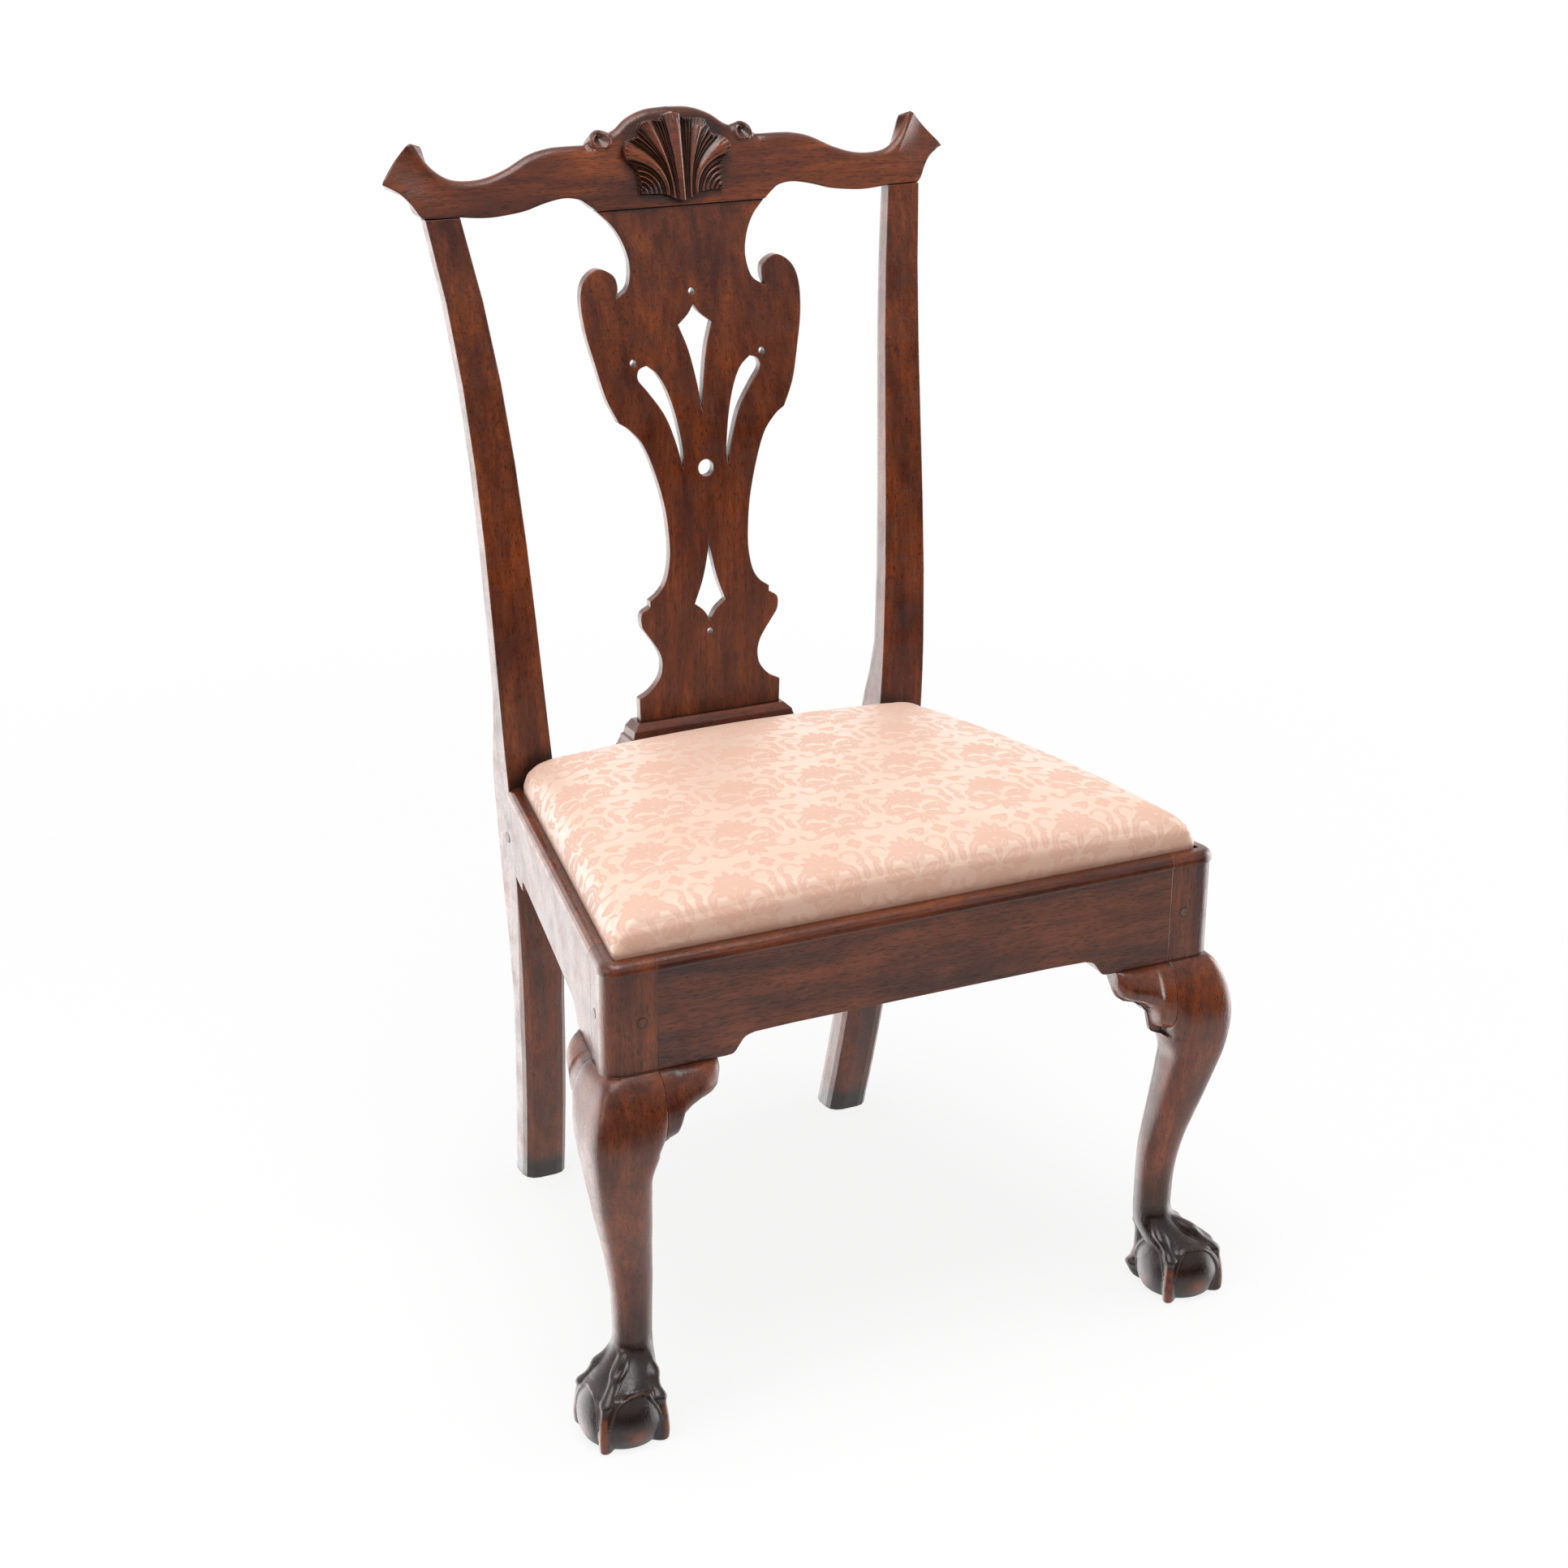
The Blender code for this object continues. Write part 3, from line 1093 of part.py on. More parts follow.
crest_rail(splat())
shoe()
opening = [(x, y) for x, y, _ in slip_ring(0, 0, SLIP_CORNER)]
rebate = prism("seat_rebate", opening, LEDGE, SEAT_TOP + CROWN)
for side, word in SIDES:
    rail, post, leg = side_rail(side, word), stile(side, word), front_leg(side, word)
    cut(leg, rebate)
    low, high = FRONT_TENON
    joint = POST_IN + TENON_LONG
    cheek = TENON_CHEEK + TENON_THICK
    ends = (POST_IN - RAIL_THICK, TENON_CHEEK, low), (joint, cheek, high)
    join(front_rail, box(f"front_tenon_{word}", *mirrored(side, *ends)))
    ends = (POST_IN - RAIL_THICK, TENON_CHEEK - FIT, low - FIT), (joint + FIT, cheek + FIT, high + FIT)
    cut(leg, box(f"front_mortise_{word}", *mirrored(side, *ends)))
    face = side_x(POST_DEPTH) - TENON_CHEEK
    front = cheek + 4 * FIT
    root_end = POST_DEPTH + RAIL_THICK
    ends = (face - TENON_THICK, front, low), (face, root_end, high)
    join(rail, box(f"side_tenon_front_{word}", *mirrored(side, *ends)))
    ends = (face - TENON_THICK - FIT, front - FIT, low - FIT), (face + FIT, root_end, high + FIT)
    cut(leg, box(f"side_mortise_front_{word}", *mirrored(side, *ends)))
    face = side_x(SEAT_DEPTH) - CANT * RAIL_HEIGHT - TENON_CHEEK
    root_end = SEAT_DEPTH - RAIL_THICK / 3
    behind = SEAT_DEPTH + STILE_DEEP_SEAT
    ends = (face - TENON_THICK, root_end, low), (face, behind, high)
    join(rail, box(f"side_tenon_rear_{word}", *mirrored(side, *ends)))
    ends = (face - TENON_THICK - FIT, root_end, low - FIT), (face + FIT, behind + RAIL_THICK, high + FIT)
    cut(post, box(f"side_mortise_rear_{word}", *mirrored(side, *ends)))
    inner = SEAT_WIDTH_BACK / 2 - STILE_WIDTH_SEAT
    stub = face - TENON_THICK - 4 * FIT
    ahead = SEAT_DEPTH + TENON_CHEEK
    ends = (inner - RAIL_THICK, ahead, low), (stub, ahead + TENON_THICK, high)
    join(rear_rail, box(f"rear_tenon_{word}", *mirrored(side, *ends)))
    ends = (inner - RAIL_THICK, ahead - FIT, low - FIT), (stub + FIT, ahead + TENON_THICK + FIT, high + FIT)
    cut(post, box(f"rear_mortise_{word}", *mirrored(side, *ends)))
    at = (side * (POST_IN + PIN_FROM_JOINT), PIN_LONG / 2 - FIT, PIN_HIGH)
    pin(f"front_rail_pin_{word}", at, (0, 1, 0), (leg, front_rail, rail))
    slant = Vector((side, SIDE_SLOPE, 0)).normalized()
    y = POST_DEPTH - PIN_FROM_JOINT
    at = Vector((side * side_x(y), y, PIN_HIGH)) - slant * (PIN_LONG / 2 - FIT)
    pin(f"side_rail_pin_front_{word}", at, slant, (leg, rail))
    y = SEAT_DEPTH + PIN_FROM_JOINT
    outer = stile_inner(PIN_HIGH) + stile_width(PIN_HIGH)
    at = (side * (outer - PIN_LONG / 2 + FIT), y, PIN_HIGH)
    pin(f"side_rail_pin_rear_{word}", at, (1, 0, 0), (post, rail, rear_rail))
    knee_return(f"knee_return_front_{word}", knee_front, lambda u, d, z: (side * (POST_IN - u), d, z))
    knee_return(
        f"knee_return_side_{word}", knee_side,
        lambda u, d, z: (side * (side_x(POST_DEPTH + u) - d), POST_DEPTH + u, z),
    )
    corner_blocks(side, word)
slip_seat()

# The origin: on the floor, in the middle of the chair's outer box
bpy.context.view_layer.update()
graph = bpy.context.evaluated_depsgraph_get()
ends = []
for piece in chair.objects:
    if piece.type == "MESH":
        piece.modifiers.new("flat faces shade flat", "WEIGHTED_NORMAL")
        drawn = piece.evaluated_get(graph)
        ends += [(drawn.matrix_world @ Vector(corner)).y for corner in drawn.bound_box]
root.location.y = -(min(ends) + max(ends)) / 2
slip.parent = root
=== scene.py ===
import math

import bmesh
import bpy
import numpy as np
from mathutils import Matrix, Vector
from mathutils.kdtree import KDTree


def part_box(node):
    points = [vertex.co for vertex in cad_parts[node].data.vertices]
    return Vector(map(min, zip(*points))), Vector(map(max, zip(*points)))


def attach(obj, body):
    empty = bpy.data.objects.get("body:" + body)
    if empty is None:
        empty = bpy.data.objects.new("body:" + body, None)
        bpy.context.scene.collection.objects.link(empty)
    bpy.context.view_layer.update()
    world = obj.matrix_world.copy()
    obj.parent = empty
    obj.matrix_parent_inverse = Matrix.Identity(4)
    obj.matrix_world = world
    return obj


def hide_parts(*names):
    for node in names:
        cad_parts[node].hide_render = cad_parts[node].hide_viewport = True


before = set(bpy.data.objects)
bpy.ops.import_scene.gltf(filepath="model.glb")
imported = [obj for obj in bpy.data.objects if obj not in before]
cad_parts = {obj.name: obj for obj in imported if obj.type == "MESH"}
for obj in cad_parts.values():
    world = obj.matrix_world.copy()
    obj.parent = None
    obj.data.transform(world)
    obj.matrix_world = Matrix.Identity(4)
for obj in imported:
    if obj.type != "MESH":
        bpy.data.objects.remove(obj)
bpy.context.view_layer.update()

# Front legs: mahogany, each carved from one thick piece, with a square post between the rails, a
# swelling knee, a round shin and a bird's foot that grips a ball. Stained dark and varnished by hand.
MM = 0.001
BEAD = 1.5  # how far the moulding along the rails' top stands out, in millimetres like those below
BEAD_ROUND = 8  # radius of its upper edge
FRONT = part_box("front_seat_rail")[0][1] + BEAD * MM  # the front rail's face, in metres
SEAT_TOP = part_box("front_seat_rail")[1][2] / MM
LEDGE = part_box("rear_seat_rail")[1][2] / MM
RIM = 11.5  # from the rail's face to the rebate of the seat
HALF_FRONT = 287.5  # half the seat's width at the rail's face
SLOPE = 0.19456  # how much the sides of the seat close in towards the back
STRETCH = math.hypot(1, SLOPE)
SIDES = ((-1, "left"), (1, "right"))


def srgb(code):
    """Linear colour of an sRGB hex code."""
    parts = [int(code[k : k + 2], 16) / 255 for k in (1, 3, 5)]
    return [*(p / 12.92 if p <= 0.04045 else ((p + 0.055) / 1.055) ** 2.4 for p in parts), 1]


def feed(tree, node, inputs):
    """Sets each input of a node to a value, or links it to another node's output."""
    for key, value in inputs.items():
        if isinstance(value, bpy.types.NodeSocket):
            tree.links.new(value, node.inputs[key])
        else:
            node.inputs[key].default_value = value


def add(tree, kind, inputs, out=0, **settings):
    """One output of a new shader node with its settings and inputs."""
    node = tree.nodes.new(f"ShaderNode{kind}")
    for name, value in settings.items():
        setattr(node, name, value)
    feed(tree, node, inputs)
    return node.outputs[out]


def material(name, roughness, ior=1.5):
    made = bpy.data.materials.new(name)
    made.use_nodes = True
    shader = made.node_tree.nodes["Principled BSDF"]
    feed(made.node_tree, shader, {"Roughness": roughness, "IOR": ior})
    return made, made.node_tree, shader


def layered(tree, colour, *layers):
    """A colour with others laid over it, each by a share and an amount."""
    colour = srgb(colour)
    for share, amount, other in layers:
        share = add(tree, "Math", {0: share, 1: amount}, operation="MULTIPLY")
        colour = add(tree, "Mix", {0: share, 6: colour, 7: srgb(other)}, 2, data_type="RGBA")
    return colour


def mottled(tree, place, scale, detail, low, high, **more):
    """Noise, so many cells to a metre, spread from 0 at a low level of it to 1 at a high one."""
    noise = add(tree, "TexNoise", {"Vector": place, "Scale": scale, "Detail": detail, **more})
    return add(tree, "MapRange", {0: noise, 1: low, 2: high})


def mahogany(name, grain, seed, smoked=0.0, black_foot=0.022, carved=False):
    """Old mahogany under varnish: red-brown, mottled along the grain and flecked with dark pores, black at the
    feet, black with grime and painted shade in its hollows, rubbed to orange-brown at its edges."""
    made, tree, shader = material(name, 0.3, 1.52)
    place = add(tree, "TexCoord", {}, "Object")
    start = (0.31 * seed, 0.17 * seed, 0.23 * seed)
    # Mottling about 22 mm wide and 140 mm long, streaks of 4 mm, pores of 1.1 by 8 mm, drawn coarser than the real
    # ones to show, and blotches of 26 mm and worn patches of 9 mm all ways
    noises = []
    for share, *levels in (
        (0.16, 45, 6, 0.34, 0.66),
        (0.06, 240, 4, 0.38, 0.68),
        (0.13, 900, 1, 0.56, 0.67),
        (1, 38, 6, 0.36, 0.64),
        (1, 110, 4, 0.30, 0.48),
    ):
        vector = place
        if share < 1:
            long = [share if axis == grain else 1.0 for axis in "XYZ"]
            vector = add(tree, "Mapping", {"Vector": place, "Location": start, "Scale": long})
        noises.append(mottled(tree, vector, *levels, Roughness=0.62))
    mottle, streak, pore, blotch, patch = noises
    # Grime and painted shade: darkened towards black where the surface is closed in by others, in hollows and
    # where parts meet
    shade = add(tree, "AmbientOcclusion", {"Distance": 0.022}, "AO", samples=8)
    shade_and_grime = add(tree, "MapRange", {0: shade, 1: 0.86, 2: 0.40})
    height = add(tree, "SeparateXYZ", {0: place}, 2)
    black_and_shade = add(tree, "MapRange", {0: height, 1: 1.25 * black_foot, 2: 0.7 * black_foot, 4: 0.95})
    for other in (shade_and_grime, smoked):
        black_and_shade = add(tree, "Math", {0: black_and_shade, 1: other}, operation="MAXIMUM")
    softened = add(tree, "Bevel", {"Radius": (0.5 if carved else 1.3) * MM}, samples=6)
    flat = add(tree, "NewGeometry", {}, "Normal")
    bend = add(tree, "VectorMath", {0: softened, 1: flat}, "Value", operation="DOT_PRODUCT")
    edge = add(tree, "MapRange", {0: bend, 1: 0.995, 2: 0.88})
    edge = add(tree, "Math", {0: edge, 1: blotch}, operation="MULTIPLY")
    rubbed = 0.0
    if carved:
        # Marks on the carving: soot and painted shade in its grooves, and places rubbed back to the wood
        soot = add(tree, "Attribute", {}, "Fac", attribute_name="soot")
        black_and_shade = add(tree, "Math", {0: black_and_shade, 1: soot}, operation="MAXIMUM")
        rubbed = add(tree, "Attribute", {}, "Fac", attribute_name="rubbed")
        rubbed = add(tree, "Math", {0: rubbed, 1: patch}, operation="MULTIPLY")
    colour = layered(
        tree, "#4C1C0D",
        (mottle, 1.0, "#96491F"),
        (streak, 0.5, "#3A160C"),
        (blotch, 0.3, "#32140D"),
        (pore, 0.62, "#1C0B07"),
        (black_and_shade, 0.94, "#0E0B09"),
        (edge, 0.85, "#8E4C29"),
        (rubbed, 0.9, "#84401F"),
    )
    rough = add(tree, "MapRange", {0: blotch, 3: 0.17, 4: 0.36})
    dull = add(tree, "Math", {0: shade_and_grime, 1: 0.45}, operation="MULTIPLY")
    rough = add(tree, "Math", {0: rough, 1: dull}, operation="MAXIMUM")
    # Shallow dents about 13 mm apart, with the pores as pits
    dent = add(tree, "TexNoise", {"Vector": place, "Scale": 75, "Detail": 3})
    pit = add(tree, "Math", {0: pore, 1: -0.16, 2: dent}, operation="MULTIPLY_ADD")
    bump = add(tree, "Bump", {"Strength": 0.4, "Distance": 0.9 * MM, "Height": pit, "Normal": softened})
    feed(tree, shader, {"Base Color": colour, "Roughness": rough, "Normal": bump})
    return made


def through(table, at):
    """A smooth curve through the rows of a table, read at values of its first column."""
    table = np.array(table, float)
    x, y = table[:, 0], table[:, 1:]
    slope = np.gradient(y, x, axis=0)
    k = np.clip(np.searchsorted(x, at) - 1, 0, len(x) - 2)
    wide = (x[k + 1] - x[k])[:, None]
    t = np.clip((at - x[k])[:, None] / wide, 0, 1)
    a, b, da, db = y[k], y[k + 1], slope[k] * wide, slope[k + 1] * wide
    return (a + t * (da + t * (3 * (b - a) - 2 * da - db + t * (2 * (a - b) + da + db)))).T


def ease(value, low, high):
    t = np.clip((value - low) / (high - low), 0, 1)
    return t * t * (3 - 2 * t)


def hump(far, wide):
    """1 at a place, fading to nothing on both sides of it."""
    return np.exp(-((far / wide) ** 2))


def skin(rows, around=True, ends=(0, -1)):
    """Points and faces over rows of points, closed round each row and over the rows named as ends."""
    count = rows.shape[1]
    index = np.arange(rows.shape[0] * count).reshape(-1, count)
    after = np.roll(index, -1, axis=1)
    quads = np.stack([index[:-1], after[:-1], after[1:], index[1:]], axis=-1)
    quads = quads if around else quads[:, :-1]
    faces = quads.reshape(-1, 4).tolist()
    faces += [index[row].tolist() for row in ends]
    return rows.reshape(-1, 3), faces


def in_scene(name, data):
    made = bpy.data.objects.new(name, data)
    bpy.context.scene.collection.objects.link(made)
    return made


def make(name, skins, paint, sharp=35, **marks):
    """An object from skins in metres, its faces turned outwards; marks are values at its points for the finish."""
    mesh = bpy.data.meshes.new(name)
    points, faces = [], []
    for own_points, own_faces in skins:
        faces += [[k + len(points) for k in face] for face in own_faces]
        points += own_points.tolist()
    mesh.from_pydata(points, [], faces)
    for mark, values in marks.items():
        layer = mesh.attributes.new(mark, "FLOAT", "POINT")
        layer.data.foreach_set("value", np.ascontiguousarray(values, np.float32).ravel())
    bm = bmesh.new()
    bm.from_mesh(mesh)
    bmesh.ops.remove_doubles(bm, verts=bm.verts, dist=1e-7)
    bmesh.ops.recalc_face_normals(bm, faces=bm.faces)
    bm.to_mesh(mesh)
    bm.free()
    mesh.materials.append(paint)
    mesh.shade_smooth()
    mesh.set_sharp_from_angle(angle=math.radians(sharp))
    return in_scene(name, mesh)


def stands_for(made, body, slot, *nodes):
    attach(made, body)
    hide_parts(*nodes)


def on_chair(points, side=1):
    """From millimetres right of the middle, behind the rail's face and above the floor to the chair's place."""
    placed = np.array(points, float) * MM * (side, 1, 1)
    return placed + (0, FRONT, 0)


def side_x(y):
    """Outer face of the right-hand side of the seat, in millimetres."""
    return HALF_FRONT - SLOPE * y


POST_IN, POST_DEEP = 240.6, 46  # inner and rear faces of the square post
LEG = (258.6, 21.5)  # the leg's middle in plan
BALL_AHEAD = 22  # the ball stands ahead of it, on the diagonal
BALL, BALL_TALL, BALL_HIGH = 37, 36, 21  # half the ball's width and height, and its middle above the floor
ANKLE = 82
SHIN = (  # height, middle ahead on the diagonal, half width, squareness
    (82, -4.5, 16.7, 2), (114, -3.6, 17.4, 2), (131, -2.1, 18.5, 2), (151, 1.5, 19.5, 2.1), (171, 6.3, 21, 2.2),
    (190, 10.9, 22.7, 2.3), (220, 17.8, 24.7, 2.6), (239, 21.5, 25.9, 3), (259, 20, 29.4, 3.6), (276, 16, 33, 4),
    (291, 11, 34.2, 5), (306, 4, 34.8, 6), (318, 2, 31.4, 6), (324, 1, 28.1, 6), (328, 0, 23.7, 6),
)
NECK = (  # height, middle ahead on the diagonal, half width of the skin above the ball
    (0, 22, 10), (30, 22, 20), (36, 22, 25), (42, 21, 28.5), (47, 16.8, 28), (52, 11, 25.2), (58, 4.5, 21.6),
    (64, -0.6, 18.6), (70, -3.5, 17), (76, -4.4, 16.7), (82, -4.5, 16.7),
)
FRONT_TOE = (  # height, and reach ahead of and beside the ball's axis
    (0, 41.5, 0), (9, 42.4, 0), (19, 41.8, 0), (28, 40.4, 0), (34, 39, 0), (40, 37.6, 0), (45, 34, 0),
    (52.5, 22.5, 0), (61.7, 9.5, 0), (68.6, -5.5, 0), (75.4, -13.5, 0), (84, -20, 0),
)
SIDE_TOE = (
    (0, 0, 42.5), (9, 0, 43.5), (19, 0, 42.8), (27, 0, 41.8), (34, 0, 40.6), (41, -0.5, 38.6), (47.4, -4.5, 33.6),
    (54.2, -9.8, 29), (61.4, -16, 22), (68, -22, 17), (75.2, -26, 13.5), (84, -28, 11),
)
BACK_TOE = (
    (0, -40, 0), (7, -45, 0), (14, -46.5, 0), (21, -44, 0), (29.5, -41.5, 0), (40, -41, 0), (49, -41, 0),
    (60, -40.6, 0), (70.5, -38.5, 0), (78, -36, 0), (84, -34, 0),
)
TOE_HALF = ((0, 4.4), (8, 4.9), (30, 4.5), (60, 4.4), (72, 4.2), (84, 4))  # height and half width of a toe


def merged(a, b, soft):
    """The larger of two reaches, with a fillet where they cross."""
    return (a + b + np.hypot(a - b, soft)) / 2


def leg_rows():
    """Rows round the right-hand leg from the floor to the rails, in millimetres, and where the foot is rubbed."""
    levels = np.concatenate([np.linspace(0, 88, 126), np.linspace(90, 328, 92)])
    z = levels[:, None]
    turn = np.linspace(0, 2 * np.pi, 336, endpoint=False)  # from the leg's diagonal
    facing = turn - np.pi / 4
    middle, half, power = through(SHIN, levels)[..., None]
    neck_middle, neck = through(NECK, levels)[..., None]
    middle = np.where(z < ANKLE, neck_middle, middle)
    shin = half / (np.abs(np.cos(facing)) ** power + np.abs(np.sin(facing)) ** power) ** (1 / power)

    ball = BALL * np.sqrt(np.clip(1 - ((z - BALL_HIGH) / BALL_TALL) ** 2, 0, 1))
    behind = BALL_AHEAD - middle
    far = behind * np.cos(turn) + np.sqrt(np.clip(ball**2 - (behind * np.sin(turn)) ** 2, 0, None))
    ball = far * (1 - ease(z, 45, 56))  # sinks into the skin above the arches
    gap = np.abs(np.degrees(turn) % 90 / 45 - 1)  # 1 at a toe and 0 midway between two
    arch = (gap / 0.86) ** 3.5 + (z / 46) ** 2.5 - 1  # below 0 inside an arch, where the ball is bare
    reach = ball + ease(arch, -0.06, 0.06) * (merged(ball + 1.8, neck, 3) - ball)
    reach -= 0.5 * hump(arch - 0.16, 0.045)
    rubbed = 0.95 * hump(gap, 0.3) * hump(z - 13, 7) * (arch < 0)
    rubbed += 0.16 * hump(arch - 0.1, 0.06) * (z < 50)
    (wide,) = through(TOE_HALF, levels)[..., None]
    for path, side, low, high in (  # a toe's path, its side and the heights of its two knuckles
        (FRONT_TOE, 1, 43, 60), (SIDE_TOE, 1, 41, 56), (SIDE_TOE, -1, 41, 56), (BACK_TOE, 1, 14, 58)
    ):
        ahead, aside = through(path, levels)[..., None]
        ahead = ahead + BALL_AHEAD - middle
        knuckle = hump(z - low, 3.4) + hump(z - high, 3.8)
        out = np.hypot(ahead, aside) + 2 * knuckle - 0.8 - 3 * ease(z, 68, 82)
        off = (turn - side * np.arctan2(aside, ahead) + np.pi) % (2 * np.pi) - np.pi
        off = out * np.abs(off) / (wide + 1.2 * knuckle)
        toe = np.where((off < 2.2) & (z < 84), out - 2.6 * off**2 - 0.5 * off**4, 0)
        rubbed = np.maximum(rubbed, 0.85 * ease(1.1 - off, 0, 0.5) * ease(38 - z, 0, 9) * (toe > reach))
        reach = merged(reach, toe, 1.4 + 2.4 * ease(z, 40, 60))
    blend = ease(z, ANKLE - 20, ANKLE)
    reach = np.where(z < ANKLE, reach + blend * (shin - reach), shin)
    reach *= 1 - 0.04 * np.clip(1 - z / 2.5, 0, 1) ** 2
    # The leg spreads out to the lower ends of the knee returns, and is flat where they are glued on
    flare = 3.5 * ease(z, 232, 258.5) * (z < 258.5)
    reach += flare * (np.clip(-np.cos(facing), 0, 1) ** 6 + np.clip(np.sin(facing), 0, 1) ** 6)
    x = LEG[0] + middle / math.sqrt(2) + reach * np.cos(facing)
    y = LEG[1] - middle / math.sqrt(2) + reach * np.sin(facing)
    x = np.where(z > 257, np.maximum(x, POST_IN + 0.15), x)
    y = np.where(z > 257, np.minimum(y, POST_DEEP - 0.15), y)
    return np.stack([x, y, np.broadcast_to(z, x.shape)], axis=-1), rubbed


def post_rows():
    """Rows round the post: a full square below the seat's ledge and a moulded rim above it."""
    corner = 15  # radius of its outer corner
    centre = side_x(corner) - STRETCH * corner
    arc = np.linspace(-np.pi / 2, math.atan(SLOPE), 15)
    levels = [(268, 0), (LEDGE, 0), (LEDGE + 0.01, 0), (SEAT_TOP - 10, 0), (SEAT_TOP - 9.7, BEAD)]
    for a in np.linspace(0, np.pi / 2, 8):
        levels.append((SEAT_TOP - BEAD_ROUND * (1 - math.sin(a)), BEAD - BEAD_ROUND * (1 - math.cos(a))))
    rows = []
    for z, out in levels:
        radius = corner + out
        plan = [(POST_IN, -out)]
        plan += [(centre + radius * math.cos(a), corner + radius * math.sin(a)) for a in arc]
        plan += [(side_x(POST_DEEP) + out * STRETCH, POST_DEEP)]
        if z <= LEDGE:
            plan += [(262, POST_DEEP), (POST_IN, POST_DEEP), (POST_IN, 30)]
        else:
            inner = RIM * STRETCH
            plan += [(side_x(POST_DEEP) - inner, POST_DEEP), (side_x(RIM) - inner, RIM), (POST_IN, RIM)]
        rows.append([(x, y, z) for x, y in plan])
    return np.array(rows)


leg_wood = mahogany("mahogany_leg", "Z", 1, black_foot=0.1, carved=True)
shaped, rubbed = leg_rows()
post = post_rows()
rubbed = np.append(rubbed, np.zeros(post.size // 3))
for side, word in SIDES:
    skins = [skin(on_chair(rows, side)) for rows in (shaped, post)]
    leg = make(f"carved_leg_{word}", skins, leg_wood, rubbed=rubbed)
    stands_for(leg, "chair_frame", "varnished_mahogany", f"front_leg_{word}")

# Knee returns: small mahogany brackets glued under the rails and carved in one sweep with the knee, whose
# swell their faces carry on and thin towards a rounded tip. Their grain runs upright, like the leg's.
RETURN_LONG, RETURN_TALL, RETURN_THICK = 52, 70, 20
RETURN_TOP = 327.7
GLUE = 0.3  # thickness of a glue joint
RETURN_EDGE = (  # shares of a return's length and height, along its lower edge
    (0, 1), (0.13, 0.96), (0.21, 0.93), (0.245, 0.88), (0.27, 0.79), (0.31, 0.66), (0.44, 0.55), (0.6, 0.475),
    (0.8, 0.43), (0.92, 0.365), (0.98, 0.28), (1, 0.22),
)
RETURN_EDGE_DEEP = 6  # behind the rail's face
knee_high = shaped[:, 0, 2]
on_front = np.abs(shaped[:, :, 0] - POST_IN) < 0.2
on_side = np.abs(shaped[:, :, 1] - POST_DEEP) < 0.2
knee_faces = {  # depth of the knee behind a rail's face where its return meets it
    "front": np.where(on_front, shaped[:, :, 1], RETURN_EDGE_DEEP / 2).min(axis=1),
    "side": np.where(on_side, side_x(POST_DEEP) - shaped[:, :, 0], RETURN_EDGE_DEEP / 2).min(axis=1),
}


def return_rows(knee):
    """Rows round a return, from the leg to its tip: along its rail, behind the rail's face and above the floor."""
    along = 0.5 - 0.5 * np.cos(np.pi * np.linspace(0, 1, 60))[:, None]
    low = np.interp(along, *np.array(RETURN_EDGE).T) * RETURN_TALL
    down = np.linspace(0, 1, 32)
    face = np.interp(RETURN_TOP - down * RETURN_TALL, knee_high, knee) * (1 - 0.7 * along**4)
    face += 2.5 * (np.clip(down - 0.88, 0, 1) / 0.12) ** 2 + 2.5 * ease(along, 0.9, 1)  # soft lower edge and tip
    back = np.array([(RETURN_EDGE_DEEP + 2, 1), (RETURN_THICK, 0.3), (RETURN_THICK, 0)])
    deep = np.concatenate([face, np.broadcast_to(back[:, 0], (len(along), 3))], axis=1)
    high = RETURN_TOP - low * np.append(down, back[:, 1])
    return np.stack([np.broadcast_to(along * RETURN_LONG + GLUE, deep.shape), deep, high], axis=-1)


for side, word in SIDES:
    for place, knee in knee_faces.items():
        along, deep, high = np.moveaxis(return_rows(knee), -1, 0)
        if place == "front":
            points = np.stack([POST_IN - along, deep, high], axis=-1)
        else:
            points = np.stack([side_x(POST_DEEP + along) - deep, POST_DEEP + along, high], axis=-1)
        bracket = make(f"knee_bracket_{place}_{word}", [skin(on_chair(points, side))], leg_wood, 50)
        stands_for(bracket, "chair_frame", "varnished_mahogany", f"knee_return_{place}_{word}")


# Seat rails: mahogany planks on edge, tenoned into the legs and stiles, with a rounded moulding along
# the top and a shaped lower edge. The grain runs along each rail.
def dress(paint, *nodes):
    """Gives pieces of the solid model their finish."""
    for node in nodes:
        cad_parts[node].data.materials[0] = paint


dress(mahogany("mahogany_across", "X", 4, 0.12), "front_seat_rail", "rear_seat_rail")
dress(mahogany("mahogany_along", "Y", 7), "side_seat_rail_left", "side_seat_rail_right")


# Pins: round mahogany pegs driven through the joints and cut off flush. Their end grain shows, ringed with
# old polish.
def peg_end(name, middle, radius):
    """End grain under varnish: tan flecks inside a dark ring."""
    made, tree, shader = material(name, 0.35, 1.52)
    place = add(tree, "TexCoord", {}, "Object")
    away = add(tree, "VectorMath", {0: place, 1: middle}, "Value", operation="DISTANCE")
    ring = add(tree, "MapRange", {0: away, 1: radius - 1.1 * MM, 2: radius - 0.5 * MM})
    # Flecks about 1 mm across
    fleck = mottled(tree, place, 1000, 2, 0.4, 0.6)
    colour = layered(tree, "#4A2010", (fleck, 1, "#7E4625"), (ring, 1, "#120A07"))
    bump = add(tree, "Bump", {"Strength": 0.5, "Distance": 0.3 * MM, "Height": fleck})
    feed(tree, shader, {"Base Color": colour, "Normal": bump})
    return made


for word, outer in (("left", 0), ("right", 1)):
    for place, axis in (("front_rail_pin", 1), ("side_rail_pin_front", 0), ("side_rail_pin_rear", 0)):
        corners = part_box(f"{place}_{word}")
        middle = (np.array(corners[0]) + corners[1]) / 2
        radius = (corners[1][2] - corners[0][2]) / 2
        middle[axis] = corners[outer if axis == 0 else 0][axis]
        dress(peg_end(f"peg_{place}_{word}", middle, radius), f"{place}_{word}")


